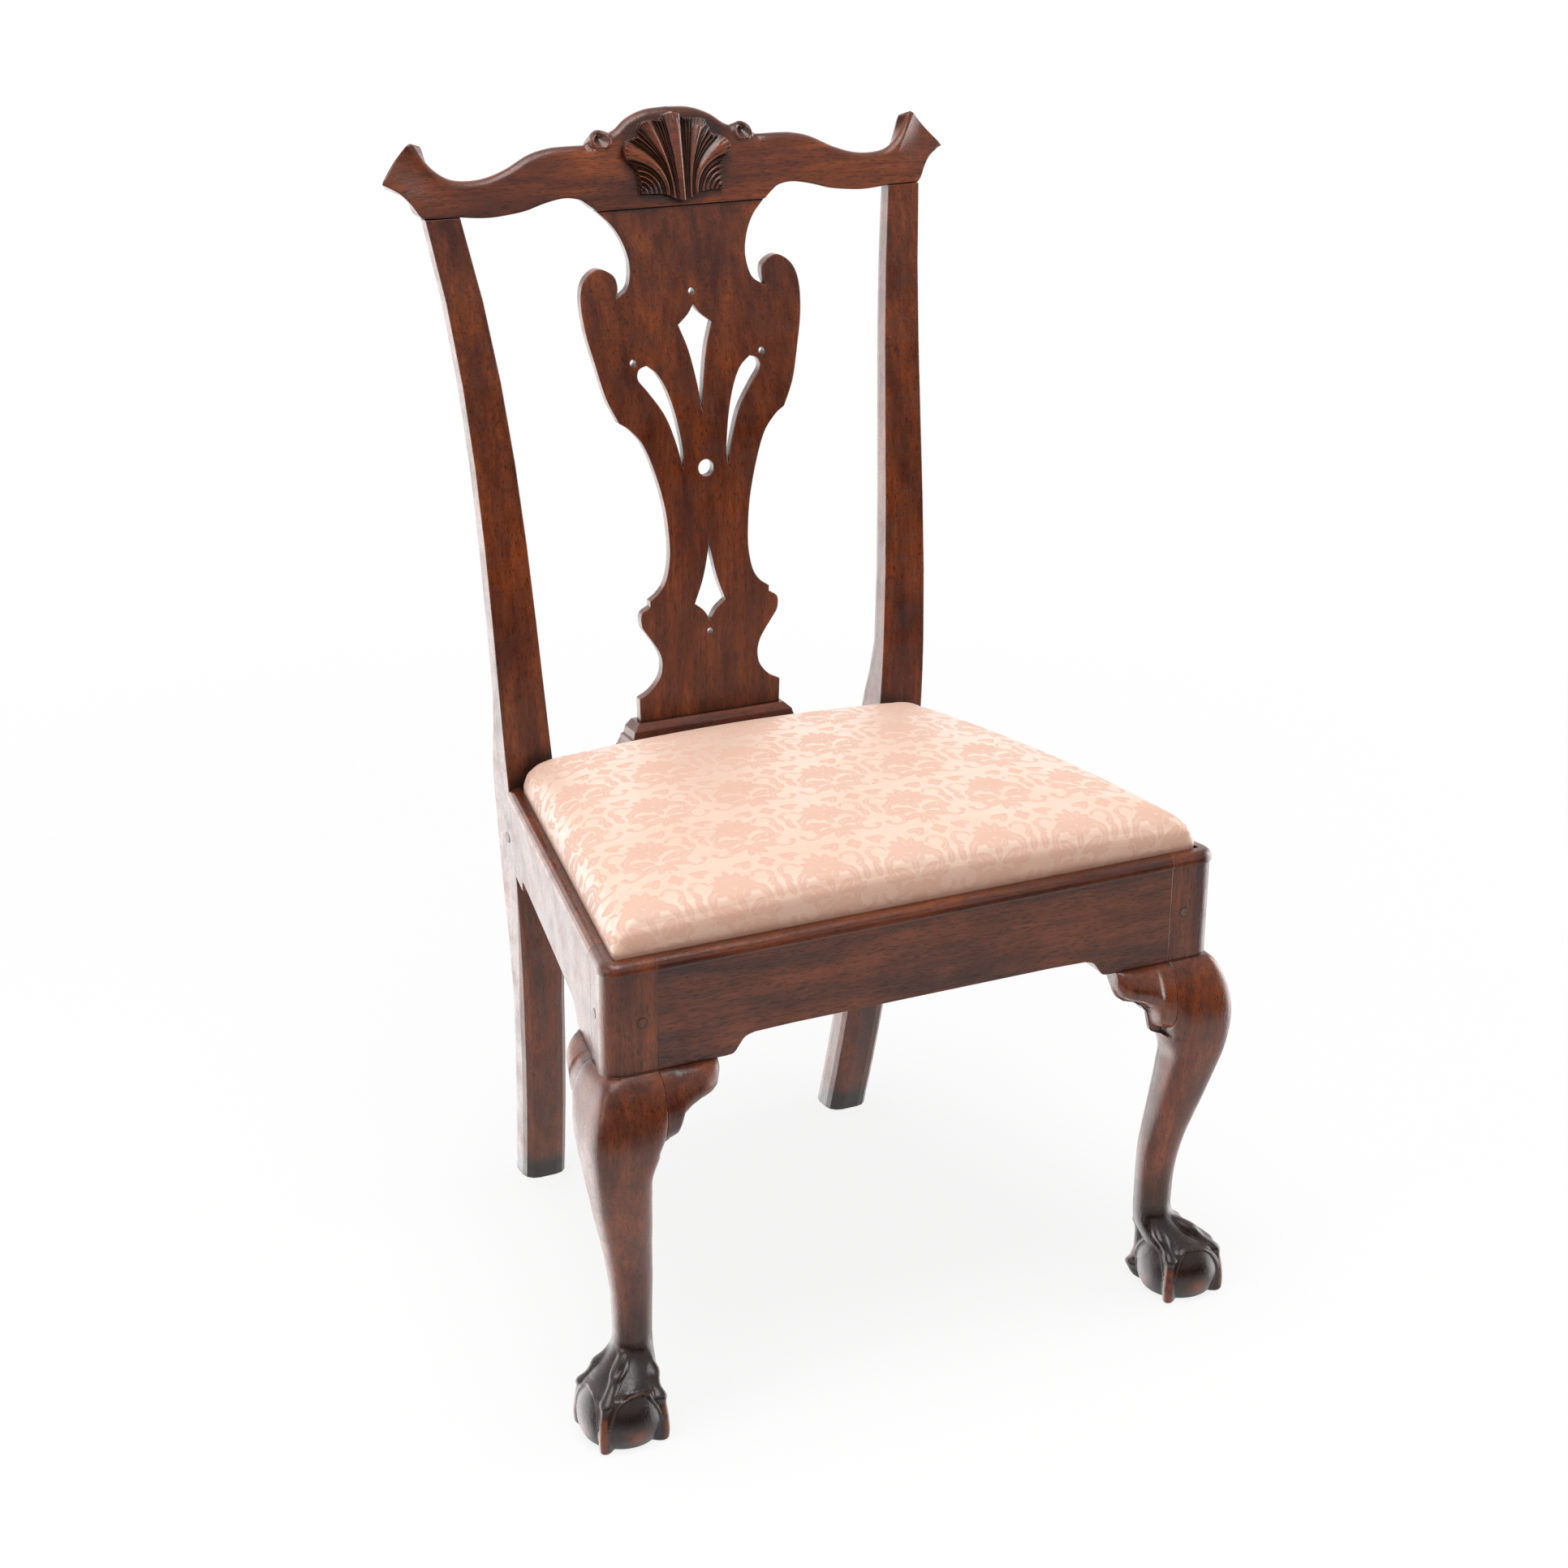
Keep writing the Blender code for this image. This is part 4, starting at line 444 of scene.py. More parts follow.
# Corner blocks: upright blocks of plain poplar, glued inside the corners of the seat frame to stiffen its
# joints. They are sawn, not planed, and never varnished, and show only when the seat is lifted out.
def poplar(name, grain, seed):
    """Bare poplar gone tan with age: faint wide streaks, a dull surface and painted shade in the corners."""
    made, tree, shader = material(name, 0.75)
    place = add(tree, "TexCoord", {}, "Object")
    long = [0.06 if axis == grain else 1.0 for axis in "XYZ"]
    along = add(tree, "Mapping", {"Vector": place, "Location": (seed, 0, seed), "Scale": long})
    # Streaks about 12 mm wide and fibres of 1 mm
    streak = mottled(tree, along, 85, 4, 0.35, 0.65)
    fibre = add(tree, "TexNoise", {"Vector": along, "Scale": 1000, "Detail": 2})
    # Painted shade: darker in the corners, where the surface is closed in
    shade = add(tree, "AmbientOcclusion", {"Distance": 0.02}, "AO", samples=8)
    corner_shade = add(tree, "MapRange", {0: shade, 1: 0.8, 2: 0.3, 4: 0.6})
    colour = layered(tree, "#B08A5C", (streak, 1, "#8C6A42"), (corner_shade, 1, "#3B2A1A"))
    bump = add(tree, "Bump", {"Strength": 0.4, "Distance": 0.3 * MM, "Height": fibre})
    feed(tree, shader, {"Base Color": colour, "Normal": bump})
    return made


block_wood = poplar("poplar_upright", "Z", 0.4)
for place in ("front", "rear"):
    dress(block_wood, f"corner_block_{place}_left", f"corner_block_{place}_right")

# Stiles: each one mahogany piece from the floor to the crest rail, sawn to its curve and rounded at
# the back, with its foot kicked out behind.
dress(mahogany("mahogany_stile", "Z", 11), "rear_stile_left", "rear_stile_right")

# Shoe: a mahogany block with a moulded front, glued on the rear rail, with a slot in its top for the foot
# of the splat. Its grain runs along the rail.
dress(mahogany("mahogany_shoe", "X", 14), "splat_shoe")

# Splat: a thin mahogany board, sawn to outline and pierced, then shaped to the lean of the back with its
# edges eased. It stands in the shoe and is tenoned into the crest rail.
SHOE_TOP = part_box("splat_shoe")[1][2]
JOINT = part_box("crest_rail")[0][2]  # the splat's shoulder below the crest rail
SPLAT_FACE, SPLAT_THICK = 415.8, 9  # millimetres behind the rail's face, and through the board
LEAN_START, LEAN = 0.550, 0.447  # metres above the floor where the back begins to lean, and its growth
SPLAT_EDGE = (  # millimetres from the middle and above the shoe, right half; each stretch goes on from the last
    ((71, -11.5), (71, 0), (71.5, 22.5)),
    (
        (60, 29), (51, 40), (48.5, 52), (50.5, 63), (56, 73), (63, 83), (68.5, 92), (68.5, 103.5), (60, 109.5),
    ),
    ((60, 115),),
    ((51, 121.5), (44, 132), (40, 150), (39.6, 170), (42.5, 199), (50, 230), (60, 257), (72, 272), (82, 279)),
    (
        (92.5, 302), (100, 332), (106, 360), (107.4, 386), (102, 403), (88, 412), (74, 406), (70.7, 396),
        (73, 386.5),
    ),
    ((61, 395), (57, 413), (60.5, 431), (69, 447), (82, 460)),
)
SPLAT_DRAWN = 460
DIAMOND = (((0, 375.5), (6, 367.5), (16.3, 359)), ((8.5, 336), (3, 307), (0, 283)))
LOWER_DIAMOND = (((0, 167), (1.4, 155), (7, 130), (15.4, 107)), ((6, 99), (0, 89)))
TEARDROP = (
    ((51, 326.5), (41, 318), (32.5, 301.5), (25.8, 277), (21.6, 248), (22.3, 233)),
    ((28.3, 258), (37, 282), (51, 303), (60, 315), (58.5, 323.5), (51, 326.5)),
)
DOTS = ((0, 387, 2.9), (63.5, 330, 2.9), (-63.5, 330, 2.9), (0, 79, 2.9), (0, 231.5, 7.5))


def splat_y(z):
    """Front face of the splat, behind the rail's face; it stands upright and then leans back."""
    return SPLAT_FACE * MM + LEAN * np.clip(z - LEAN_START, 0, None) ** 2


def drawn(stretches, steps=6):
    """Smooth stretches through their points, with a corner where two of them meet."""
    found, last = [], ()
    for stretch in stretches:
        p = np.array([*last, *stretch], float)
        last = stretch[-1:]
        p = np.vstack([2 * p[0] - p[1], p, 2 * p[-1] - p[-2]])
        for a, b, c, d in zip(p, p[1:], p[2:], p[3:]):
            for t in np.arange(steps) / steps:
                found.append(b + 0.5 * t * (c - a + t * (2 * a - 5 * b + 4 * c - d + t * (3 * (b - c) + d - a))))
    return np.array([*found, stretches[-1][-1]])


def whole(half):
    """A closed outline from its right half, drawn from one crossing of the middle to the other."""
    left = half[::-1] * (-1, 1)
    return np.vstack([half, left[left[:, 0] < -1e-6]])


def splat_skin():
    """Points and faces of the board: its outlines filled and thickened, and its front bent to the lean."""
    tear = drawn(TEARDROP)[:-1]
    outlines = [whole(drawn(SPLAT_EDGE)), whole(drawn(DIAMOND)), whole(drawn(LOWER_DIAMOND)), tear, tear * (-1, 1)]
    for x, h, radius in DOTS:
        a = np.linspace(0, 2 * np.pi, 40, endpoint=False)
        outlines.append(np.stack([x + radius * np.cos(a), h + radius * np.sin(a)], axis=1))
    curve = bpy.data.curves.new("splat_outline", "CURVE")
    curve.dimensions = "2D"
    curve.fill_mode = "BOTH"
    eased = 0.8 * MM
    curve.extrude = SPLAT_THICK / 2 * MM - eased
    curve.bevel_depth = eased
    curve.bevel_resolution = 2
    curve.offset = -eased
    rise = (JOINT - 0.3 * MM - SHOE_TOP) / SPLAT_DRAWN
    for points in outlines:
        line = curve.splines.new("POLY")
        line.points.add(len(points) - 1)
        for at, (x, h) in zip(line.points, points):
            at.co = (x * MM, SHOE_TOP + h * rise, 0, 1)
        line.use_cyclic_u = True
    guide = in_scene("splat_outline", curve)
    flat = bpy.data.meshes.new_from_object(guide.evaluated_get(bpy.context.evaluated_depsgraph_get()))
    bpy.data.objects.remove(guide)
    bm = bmesh.new()
    bm.from_mesh(flat)
    bmesh.ops.remove_doubles(bm, verts=bm.verts, dist=1e-6)
    for level in np.linspace(LEAN_START, JOINT, 42):
        everything = [*bm.verts, *bm.edges, *bm.faces]
        bmesh.ops.bisect_plane(bm, geom=everything, dist=1e-7, plane_co=(0, level, 0), plane_no=(0, 1, 0))
    bm.verts.index_update()
    x, z, deep = np.array([v.co for v in bm.verts]).T
    faces = [[v.index for v in face.verts] for face in bm.faces]
    bm.free()
    return np.stack([x, FRONT + splat_y(z) + SPLAT_THICK / 2 * MM - deep, z], axis=-1), faces


splat = make("pierced_splat", [splat_skin()], mahogany("mahogany_splat", "Z", 17))
even = splat.modifiers.new("even_faces", "WEIGHTED_NORMAL")
even.keep_sharp = True
even.weight = 100
stands_for(splat, "chair_frame", "varnished_mahogany", "splat")

# Crest rail: one mahogany piece, sawn to its outline, its ears swept back and scooped out in front,
# with a scroll on each shoulder and a shell carved in the middle.
CREST_TOP = (  # millimetres from the middle and above the splat's joint, right half
    ((0, 82.2), (22, 80.7), (40, 74.7), (52, 66.5), (58.5, 63.5)),
    ((65, 65.6), (71, 66.2), (77, 63), (79, 58), (84, 54.5)),
    (
        (104, 54.6), (120, 53.7), (138, 49.5), (160, 39.5), (180, 33.5), (198, 32.2), (214, 35), (228, 45),
        (240.5, 63.5),
    ),
    ((243.5, 65.3), (247, 63.8)),
    ((271, 36.6),),
    ((272.8, 33.6),),
)
CREST_LOW = (
    ((0, 0), (82, 0)),
    ((90, 6.2), (98, 11), (112, 12.7), (130, 9.8), (148, 5), (165, 2.7), (181, 1.6), (195, 2.2), (209.1, 3.7)),
    ((240.9, 3.7),),
    ((245, 7.2), (251, 16.8), (259, 25.5), (269.5, 31.7)),
    ((272.8, 33.4),),
)
OVER_STILE = 3.7  # height of the lower edge over a stile
CREST_THICK = 22
EAR_START, EAR_THICK = 205, 9
SCROLL = (69.5, 59.5)  # middle of a scroll
FRONT_POINTS = 92  # points of a row on its front


def crest_face(x, h):
    """Front of the crest rail behind the rail's face, before carving, in millimetres."""
    sweep = np.clip(np.abs(x) - EAR_START, 0, None) / (HALF_FRONT - EAR_START)
    return splat_y(JOINT + h * MM) / MM - 3 + 10 * sweep**2


def edge_round(far, radius):
    """How far a face falls back at a distance from its rounded edge."""
    near = np.clip(radius - far, 0, radius)
    return radius - np.sqrt(radius**2 - near**2)


def crest_rows():
    """Rows round the crest rail, from its left ear to the right one, in millimetres."""
    middle, shoulder, ear = np.arange(0, 86, 0.8), np.arange(86, EAR_START, 1.7), np.arange(EAR_START, 272.5, 0.9)
    x = np.concatenate([middle, shoulder, ear, [272.7]])
    upper, lower = drawn(CREST_TOP), drawn(CREST_LOW)
    top = np.interp(x, np.maximum.accumulate(upper[:, 0]), upper[:, 1])[:, None]
    low = np.interp(x, np.maximum.accumulate(lower[:, 0]), lower[:, 1])[:, None]
    x = x[:, None]
    share = 0.5 - 0.5 * np.cos(np.pi * np.linspace(0, 1, FRONT_POINTS))
    h = low + (top - low) * share
    tall = top - low
    y = crest_face(x, h)
    soft_top = np.minimum(6 - 4.6 * ease(x, 234, 243), 0.4 * tall)
    y += edge_round(top - h, soft_top) + edge_round(h - low, np.minimum(2, 0.3 * tall))
    # Scrolls: a round pit inside a raised curl, with a hollow running out along the rail
    curl = np.hypot(x - SCROLL[0], h - SCROLL[1])
    y += 5 * hump(curl, 4.2) - 1.6 * hump(curl - 8.2, 2) * (h > 52)
    y += 2.2 * hump(h - 53 + 0.12 * (x - 78), 3) * hump(x - 80, 7)
    # Ears: hollowed along their middle line
    aside = (x - 225) * 0.814 - (h - 4) * 0.581
    y += 3.6 * np.clip(1 - (aside / 17) ** 2, 0, 1) * ease(h, 14, 48) * ease(x, 208, 226)
    front = np.stack([np.broadcast_to(x, h.shape), y, h], axis=-1)
    # Back: square to the lean of the rail, thinner and turned inwards at the ears
    share = np.linspace(1, 0, 22)
    h = low + (top - low) * share
    z = JOINT + h * MM
    lean = np.arctan(2 * LEAN * (z - LEAN_START))
    square = np.clip((h - 2 * OVER_STILE) / CREST_THICK, 0, 1)
    outer = np.clip((x - EAR_START) / 20 - 1, 0, 1)
    tip = np.where(x > EAR_START, np.clip((h - OVER_STILE) / 60 - 0.5, 0, 0.5) * 2, 0)
    thick = CREST_THICK - (CREST_THICK - EAR_THICK) * tip
    back = crest_face(x, h) + thick * (1 - square * (1 - np.cos(lean)))
    back -= edge_round(np.minimum(top - h, h - low), np.minimum(3, 0.3 * tall))
    rear = np.stack([x - 10 * outer * square, back, h - thick * np.sin(lean) * square], axis=-1)
    half = np.concatenate([front, rear], axis=1)
    return np.concatenate([half[:0:-1] * (-1, 1, 1), half])


SHELL_FOOT = (  # ray number, foot and bend of the ray
    (0, 0, 5, 0, 38), (1, 5.5, 6, 6.3, 36), (2, 8, 7.5, 9, 39), (3, 11, 9, 8.5, 39), (4, 14, 10.5, 11.5, 37),
    (5, 17, 11.5, 21.7, 34), (6, 27, 12.3, 33, 22), (7, 39, 12.5, 39.5, 14),
)
SHELL_RIM = (  # ray number and tip of the ray, along the scalloped rim
    (0, 0, 79.2), (0.4, 7, 77.2), (0.8, 10, 73.8), (1, 12, 72.2), (1.4, 19, 72.9), (2, 27, 72.6), (2.4, 31, 70.5),
    (2.7, 34, 65.5), (3, 36, 59.7), (3.4, 44, 56.9), (3.7, 48.5, 54.5), (4, 51.3, 50), (4.4, 50.5, 43.5),
    (4.7, 47.5, 40), (5, 43.6, 37.7), (5.5, 41, 33.2), (6, 39.6, 26.2), (6.5, 39, 19.2), (7, 40, 11.7),
)


def pulled(start, middle, end, t):
    """A curve from start to end, pulled towards a middle point."""
    return (1 - t) ** 2 * start + 2 * t * (1 - t) * middle + t**2 * end


def shell_rows():
    """Rows across the shell from its foot to its rim: three lobes a side and a group of curved ribs below."""
    ray = np.linspace(0, 7, 170)
    number, *columns = np.array(SHELL_FOOT).T
    feet = [np.interp(ray, number, column) for column in columns]
    rim = through(SHELL_RIM, ray)
    v = np.linspace(0, 1, 80)[:, None]
    x, h = pulled(feet[0], feet[2], rim[0], v), pulled(feet[1], feet[3], rim[1], v)
    to_edge = np.abs((ray % 2) - 1)  # 0 at a valley between two lobes and 1 on a lobe
    lobe = np.clip(1 - ((1 - to_edge) / 0.62) ** 2, 0, 1)
    lobe = np.maximum(lobe, 0.72 * hump(to_edge, 0.07))
    lobe = np.maximum(lobe, 0.58 * hump(to_edge - 0.24, 0.05))
    ribs = 0.5 + 0.5 * np.cos(2 * np.pi * np.hypot(x - 42, h - 10.7) / 4.3)
    lobe = np.where(ray > 5.15, 0.75 * ribs, lobe)
    notch = np.clip(np.cos(2 * np.pi * 4.5 * ray), 0, 1) * ease(v, 0.86, 0.99) * (ray < 5)
    swell = 2.2 + 3.2 * np.sin(np.pi * np.clip(0.15 + 0.72 * v, 0, 1)) * (1 - 0.3 * ease(ray, 4.5, 7))
    relief = swell + lobe * (1.9 + 3.5 * v) - 1.1 * notch
    # Soot and painted shade in the valleys between the lobes
    soot = np.clip(1.25 - 1.75 * lobe, 0, 0.95) * np.ones_like(v)
    soot = np.concatenate([soot[:, :0:-1], soot], axis=1)
    rows = np.stack([x, crest_face(x, h) - relief, h], axis=-1)
    rows = np.concatenate([rows[:, :0:-1] * (-1, 1, 1), rows], axis=1)
    # The carving drops to the ground along its rim and at its foot, with painted shade in black there
    rows = np.concatenate([rows[:1] + (0, 6, 0), rows, rows[-1:] + (0, 6, 0)])
    return rows, np.pad(soot, ((1, 1), (0, 0)), constant_values=1)


def above_joint(rows):
    return on_chair(rows + (0, 0, JOINT / MM))


rail_rows = crest_rows()
shell, shell_soot = shell_rows()
crest_skins = [skin(above_joint(rail_rows)), skin(above_joint(shell), around=False, ends=())]
# Soot and painted shade on the ground round the shell and in the pits of the scrolls
from_shell = np.hypot(rail_rows[..., 0] / 52, (rail_rows[..., 2] - 43) / 41)
ground_soot = 0.55 * hump(np.clip(from_shell - 0.95, 0, None), 0.085)
in_scroll = np.hypot(np.abs(rail_rows[..., 0]) - SCROLL[0], rail_rows[..., 2] - SCROLL[1])
ground_soot = np.maximum(ground_soot, 0.85 * hump(in_scroll, 5.5))
ground_soot[:, FRONT_POINTS:] = 0  # none on the back
crest_wood = mahogany("mahogany_crest", "X", 20, carved=True)
crest = make("carved_crest", crest_skins, crest_wood, soot=np.append(ground_soot, shell_soot))
stands_for(crest, "chair_frame", "varnished_mahogany", "crest_rail")

# Frame of the drop-in seat: four poplar rails, half-lapped at the corners and left bare and rough. The
# frame lies loose on the ledge inside the seat rails, so that it lifts out.
for word, grain in (("front", "X"), ("rear", "X"), ("left", "Y"), ("right", "Y")):
    dress(poplar(f"poplar_slip_{word}", grain, len(word)), f"slip_rail_{word}")


# Webbing: six straps of woven jute, three each way, interlaced and drawn tight over the seat's frame, with
# their ends tacked to its top.
def jute():
    """Jute webbing: coarse plain weave, tan, with a dark stripe along each edge."""
    made, tree, shader = material("jute", 0.9)
    place = add(tree, "TexCoord", {}, "UV")
    across, along, _ = add(tree, "SeparateXYZ", {0: place}).node.outputs
    # A thread every 2 mm each way, drawn a little coarse to show
    threads = []
    for value in (across, along):
        turned = add(tree, "Math", {0: value, 1: 2 * math.pi / (2 * MM)}, operation="MULTIPLY")
        threads.append(add(tree, "Math", {0: turned}, operation="SINE"))
    weave = add(tree, "Math", {0: threads[0], 1: threads[1]}, operation="MULTIPLY")
    high = add(tree, "MapRange", {0: weave, 1: -1, 2: 1})
    middle = add(tree, "Math", {0: across}, operation="ABSOLUTE")
    stripe = add(tree, "Math", {0: middle, 1: 19 * MM, 2: 1.6 * MM}, operation="COMPARE")
    colour = layered(tree, "#6E5230", (high, 1, "#B2905E"), (stripe, 1, "#4A3320"))
    bump = add(tree, "Bump", {"Strength": 0.8, "Distance": 0.5 * MM, "Height": high})
    feed(tree, shader, {"Base Color": colour, "Normal": bump})
    return made


def uv_from(mesh, name, values):
    """A UV layer in metres from one pair of values for each vertex."""
    layer = mesh.uv_layers.new(name=name)
    loops = np.empty(len(mesh.loops), int)
    mesh.loops.foreach_get("vertex_index", loops)
    layer.uv.foreach_set("vector", np.ascontiguousarray(values[loops], np.float32).ravel())


STRAP = 50
STRAP_COLUMNS = (-117.9, 0, 117.9)
STRAP_ROWS = (110.5, 196.6, 282.7)  # millimetres behind the rail's face
STRAP_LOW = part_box("web_strap_long_2")[0][2] / MM
web_cloth = jute()
for kind, axis, places, others, ends in (
    ("long", 1, STRAP_COLUMNS, STRAP_ROWS, ["slip_rail_front", "slip_rail_rear"]),
    ("cross", 0, STRAP_ROWS, STRAP_COLUMNS, ["slip_rail_left", "slip_rail_right"]),
):
    for k, place in enumerate(places):
        node = f"web_strap_{kind}_{k + 1}"
        low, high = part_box(node)
        start, end = low[axis] / MM, high[axis] / MM
        shift = axis * FRONT / MM
        along = np.linspace(start - shift, end - shift, 141)
        # It goes over and under the straps that cross it, and down to the frame over 52 mm at each end
        gap = min(np.diff(others)) / 2
        wave = np.zeros_like(along)
        for m, other in enumerate(others):
            near = np.cos(np.pi / 2 * np.clip(np.abs(along - other) / gap, 0, 1)) ** 2
            wave += (-1) ** (k + m + 1 - axis) * near
        seated = np.clip(1 - np.minimum(along - along[0], along[-1] - along) / 52, 0, 1)
        across = np.linspace(-STRAP / 2, STRAP / 2, 25)
        grid = np.zeros((len(along), len(across), 3))
        grid[..., axis] = along[:, None]
        grid[..., 1 - axis] = place + across
        grid[..., 2] = (STRAP_LOW + 2.2 + 1.5 * (wave - np.sin(np.pi / 2 * seated)))[:, None]
        strap = make(f"webbing_{kind}_{k + 1}", [skin(on_chair(grid), around=False, ends=())], web_cloth)
        uv_from(strap.data, "cloth", np.stack(np.meshgrid(across * MM, along * MM), axis=-1).reshape(-1, 2))
        stands_for(strap, "slip_seat", "jute_webbing", node)

# Stuffing: curled hair laid over the webbing in one pad, thick in the middle and thin at the edges. The
# cover presses it to a smooth crown.
SLIP_LOW = LEDGE + 0.3
SEAT_BACK = 390.7  # behind the rail's face
HALF_DEEP = 189.3  # from the seat's edge to its middle line
CORNER_POINTS = 6  # points of a row round a corner
CROWN = 46
BULGE = 7  # how much a side of the crown rises between its corners
CROWN_CURVE = (  # millimetres in from the seat's edge and share of the crown's height
    (0, 0.10), (1.8, 0.27), (6.5, 0.46), (16, 0.65), (34, 0.81), (68, 0.93), (115, 0.985), (165, 1), (200, 1),
)


def seat_row(inset, corner, count=264):
    """Plan of the drop-in seat, moved inwards, with rounded corners; equal steps along each side."""
    front, back = RIM + inset, SEAT_BACK - inset
    corners = []
    for y in (front, back):
        corners.append(np.array([max(side_x(y) - (RIM + inset) * STRETCH, 1), y]))
    corners += [p * (-1, 1) for p in corners[::-1]]
    corner = min(corner, 0.35 * (back - front))
    row = []
    for k, p in enumerate(corners):
        before, after = corners[k - 1], corners[(k + 1) % 4]
        a = p + corner * (before - p) / np.linalg.norm(before - p)
        b = p + corner * (after - p) / np.linalg.norm(after - p)
        far = after + corner * (p - after) / np.linalg.norm(p - after)
        t = np.linspace(0, 1, CORNER_POINTS + 1)[:-1, None]
        row.append(pulled(a, p, b, t))
        t = np.linspace(0, 1, count // 4 - CORNER_POINTS + 1)[:-1, None]
        row.append(b + t * (far - b))
    return np.concatenate(row)


def seat_rows(inset, drop, under):
    """Rows from below the seat's edge up over its crown to its middle line, in millimetres."""
    rows = [(inset + far, z, 0) for far, z in under]
    rim, slope, top = np.linspace(0, 16, 12), np.linspace(19, 60, 12), np.linspace(66, HALF_DEEP - inset, 18)
    depths = np.concatenate([rim, slope, top])
    for far, up in zip(depths, *through(CROWN_CURVE, depths)):
        rows.append((inset + far, SEAT_TOP + CROWN * up - drop, BULGE * 4 * up * (1 - up)))
    built = []
    for far, z, swell in rows:
        plan = seat_row(far, 10 + 0.25 * max(far, 0))
        quarter = len(plan) // 4
        place = np.arange(len(plan)) % quarter - CORNER_POINTS
        place = np.clip(place / (quarter - CORNER_POINTS - 1), 0, 1)
        built.append(np.column_stack([plan, z + swell * np.sin(np.pi * place) ** 0.8]))
    return np.array(built)


def curled_hair():
    """Curled horse hair: dark, dull and tangled."""
    made, tree, shader = material("curled_hair", 0.95)
    place = add(tree, "TexCoord", {}, "Object")
    # Curls about 6 mm across
    curl = mottled(tree, place, 170, 3, 0.35, 0.65, Distortion=3)
    colour = layered(tree, "#1B130E", (curl, 1, "#5A4632"))
    bump = add(tree, "Bump", {"Strength": 1, "Distance": 3 * MM, "Height": curl})
    feed(tree, shader, {"Base Color": colour, "Normal": bump})
    return made


pad_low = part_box("seat_stuffing")[0][2] / MM
pad_rows = seat_rows(2.1, 1.6, [])
pad_rows = pad_rows[pad_rows[:, 0, 2] >= pad_low]
base = pad_rows[:1] * (1, 1, 0) + (0, 0, pad_low)
pad = make("hair_stuffing", [skin(on_chair(np.concatenate([base, pad_rows])))], curled_hair(), 60)
stands_for(pad, "slip_seat", "curled_hair", "seat_stuffing")


# Cover: one piece of peach silk damask, pulled over the stuffing and tacked under the frame. The figure
# is woven in and runs on over the whole seat without a seam.
def damask():
    """Silk damask: a rose figure in dull weave on a paler satin ground, with fine ribs and a soft sheen."""
    made, tree, shader = material("silk_damask", 0.42)
    outside = add(tree, "Attribute", {}, "Fac", attribute_name="outside")  # millimetres from the figure
    figure = add(tree, "MapRange", {0: outside, 1: 0.35, 2: -0.35})
    place = add(tree, "TexCoord", {}, "UV")
    # Ribs every 1.1 mm, drawn coarser than the real 0.4 mm to show, and slubs 60 mm long
    rib = add(tree, "TexWave", {"Vector": place, "Scale": 2 * math.pi / (20 * 1.1 * MM)}, 1, bands_direction="X")
    slubs = add(tree, "Mapping", {"Vector": place, "Scale": (16, 700, 1)})
    slub = mottled(tree, slubs, 1, 3, 0.45, 0.75)
    worn = mottled(tree, place, 14, 4, 0.35, 0.65)
    thread = add(tree, "Math", {0: slub, 1: 0.3}, operation="MULTIPLY")
    thread = add(tree, "Math", {0: rib, 1: 0.14, 2: thread}, operation="MULTIPLY_ADD")
    # Painted shade: the cloth is darkened on its steep sides and where it goes down behind the rails
    shade = add(tree, "AmbientOcclusion", {"Distance": 0.03}, "AO", samples=8)
    deep = add(tree, "MapRange", {0: shade, 1: 0.92, 2: 0.5, 4: 0.75})
    normal = add(tree, "NewGeometry", {}, "Normal")
    upright = add(tree, "SeparateXYZ", {0: normal}, 2)
    side_shade = add(tree, "MapRange", {0: upright, 1: 0.85, 2: 0.2, 4: 0.4})
    deep = add(tree, "Math", {0: deep, 1: side_shade}, operation="MAXIMUM")
    colour = layered(
        tree, "#F9D9C6",
        (worn, 1, "#F6D1BB"), (thread, 1, "#E3B396"), (figure, 0.55, "#DFAA91"), (deep, 1, "#CB8F73"),
    )
    rough = add(tree, "MapRange", {0: figure, 3: 0.38, 4: 0.6})
    height = add(tree, "Math", {0: figure, 1: 1.5, 2: rib}, operation="MULTIPLY_ADD")
    bump = add(tree, "Bump", {"Strength": 0.35, "Distance": 0.25 * MM, "Height": height})
    feed(tree, shader, {"Base Color": colour, "Roughness": rough, "Normal": bump})
    feed(tree, shader, {"Specular IOR Level": 0.9, "Sheen Weight": 0.25, "Sheen Roughness": 0.35})
    return made


REPEAT = 95  # side of the square that the figure is drawn on
WOVEN = 80  # millimetres of cloth that it covers
VEIN = 0.5  # half the width of the pale vein in a petal or leaf
PETALS = (  # foot, lean from upright in degrees, length and half width
    ((0, 32), 0, 20, 4.2), ((4, 29), 60, 23, 5.2), ((3, 24), 116, 24, 5.2), ((0, 21), 152, 20, 4.6),
    ((21, 78), 38, 17, 4.6), ((12, 86), 80, 18, 4.2), ((40, 36), 8, 17, 4.4),
)
LEAVES = (  # middle and radius of the curl, its two ends in degrees, half width at each, and lobes
    ((17, 41), 14, 165, -100, 7.4, 2.2, 5),
    ((34, 20), 12, 75, 330, 4.6, 1.6, 4),
    ((32, 63), 11, -75, 175, 4.2, 1.4, 4),
)
BERRIES = ((42, 17, 3.6), (42.5, 84, 4), (47.5, 79, 4), (47.5, 89, 4))  # middle and radius


def petal(a, v, foot, angle, length, wide):
    """Distance outside a pointed petal with a vein, which leans by an angle from upright."""
    turn = math.radians(angle)
    along = (a - foot[0]) * math.sin(turn) + (v - foot[1]) * math.cos(turn)
    aside = (a - foot[0]) * math.cos(turn) - (v - foot[1]) * math.sin(turn)
    t = np.clip(along / length, 0, 1)
    half = wide * np.sqrt(t) * (1 - t) ** 0.6 * 2
    far = np.where((along > 0) & (along < length), np.abs(aside) - half, np.hypot(aside, along - t * length))
    return np.where((t > 0.1) & (t < 0.72), np.maximum(far, VEIN - np.abs(aside)), far)


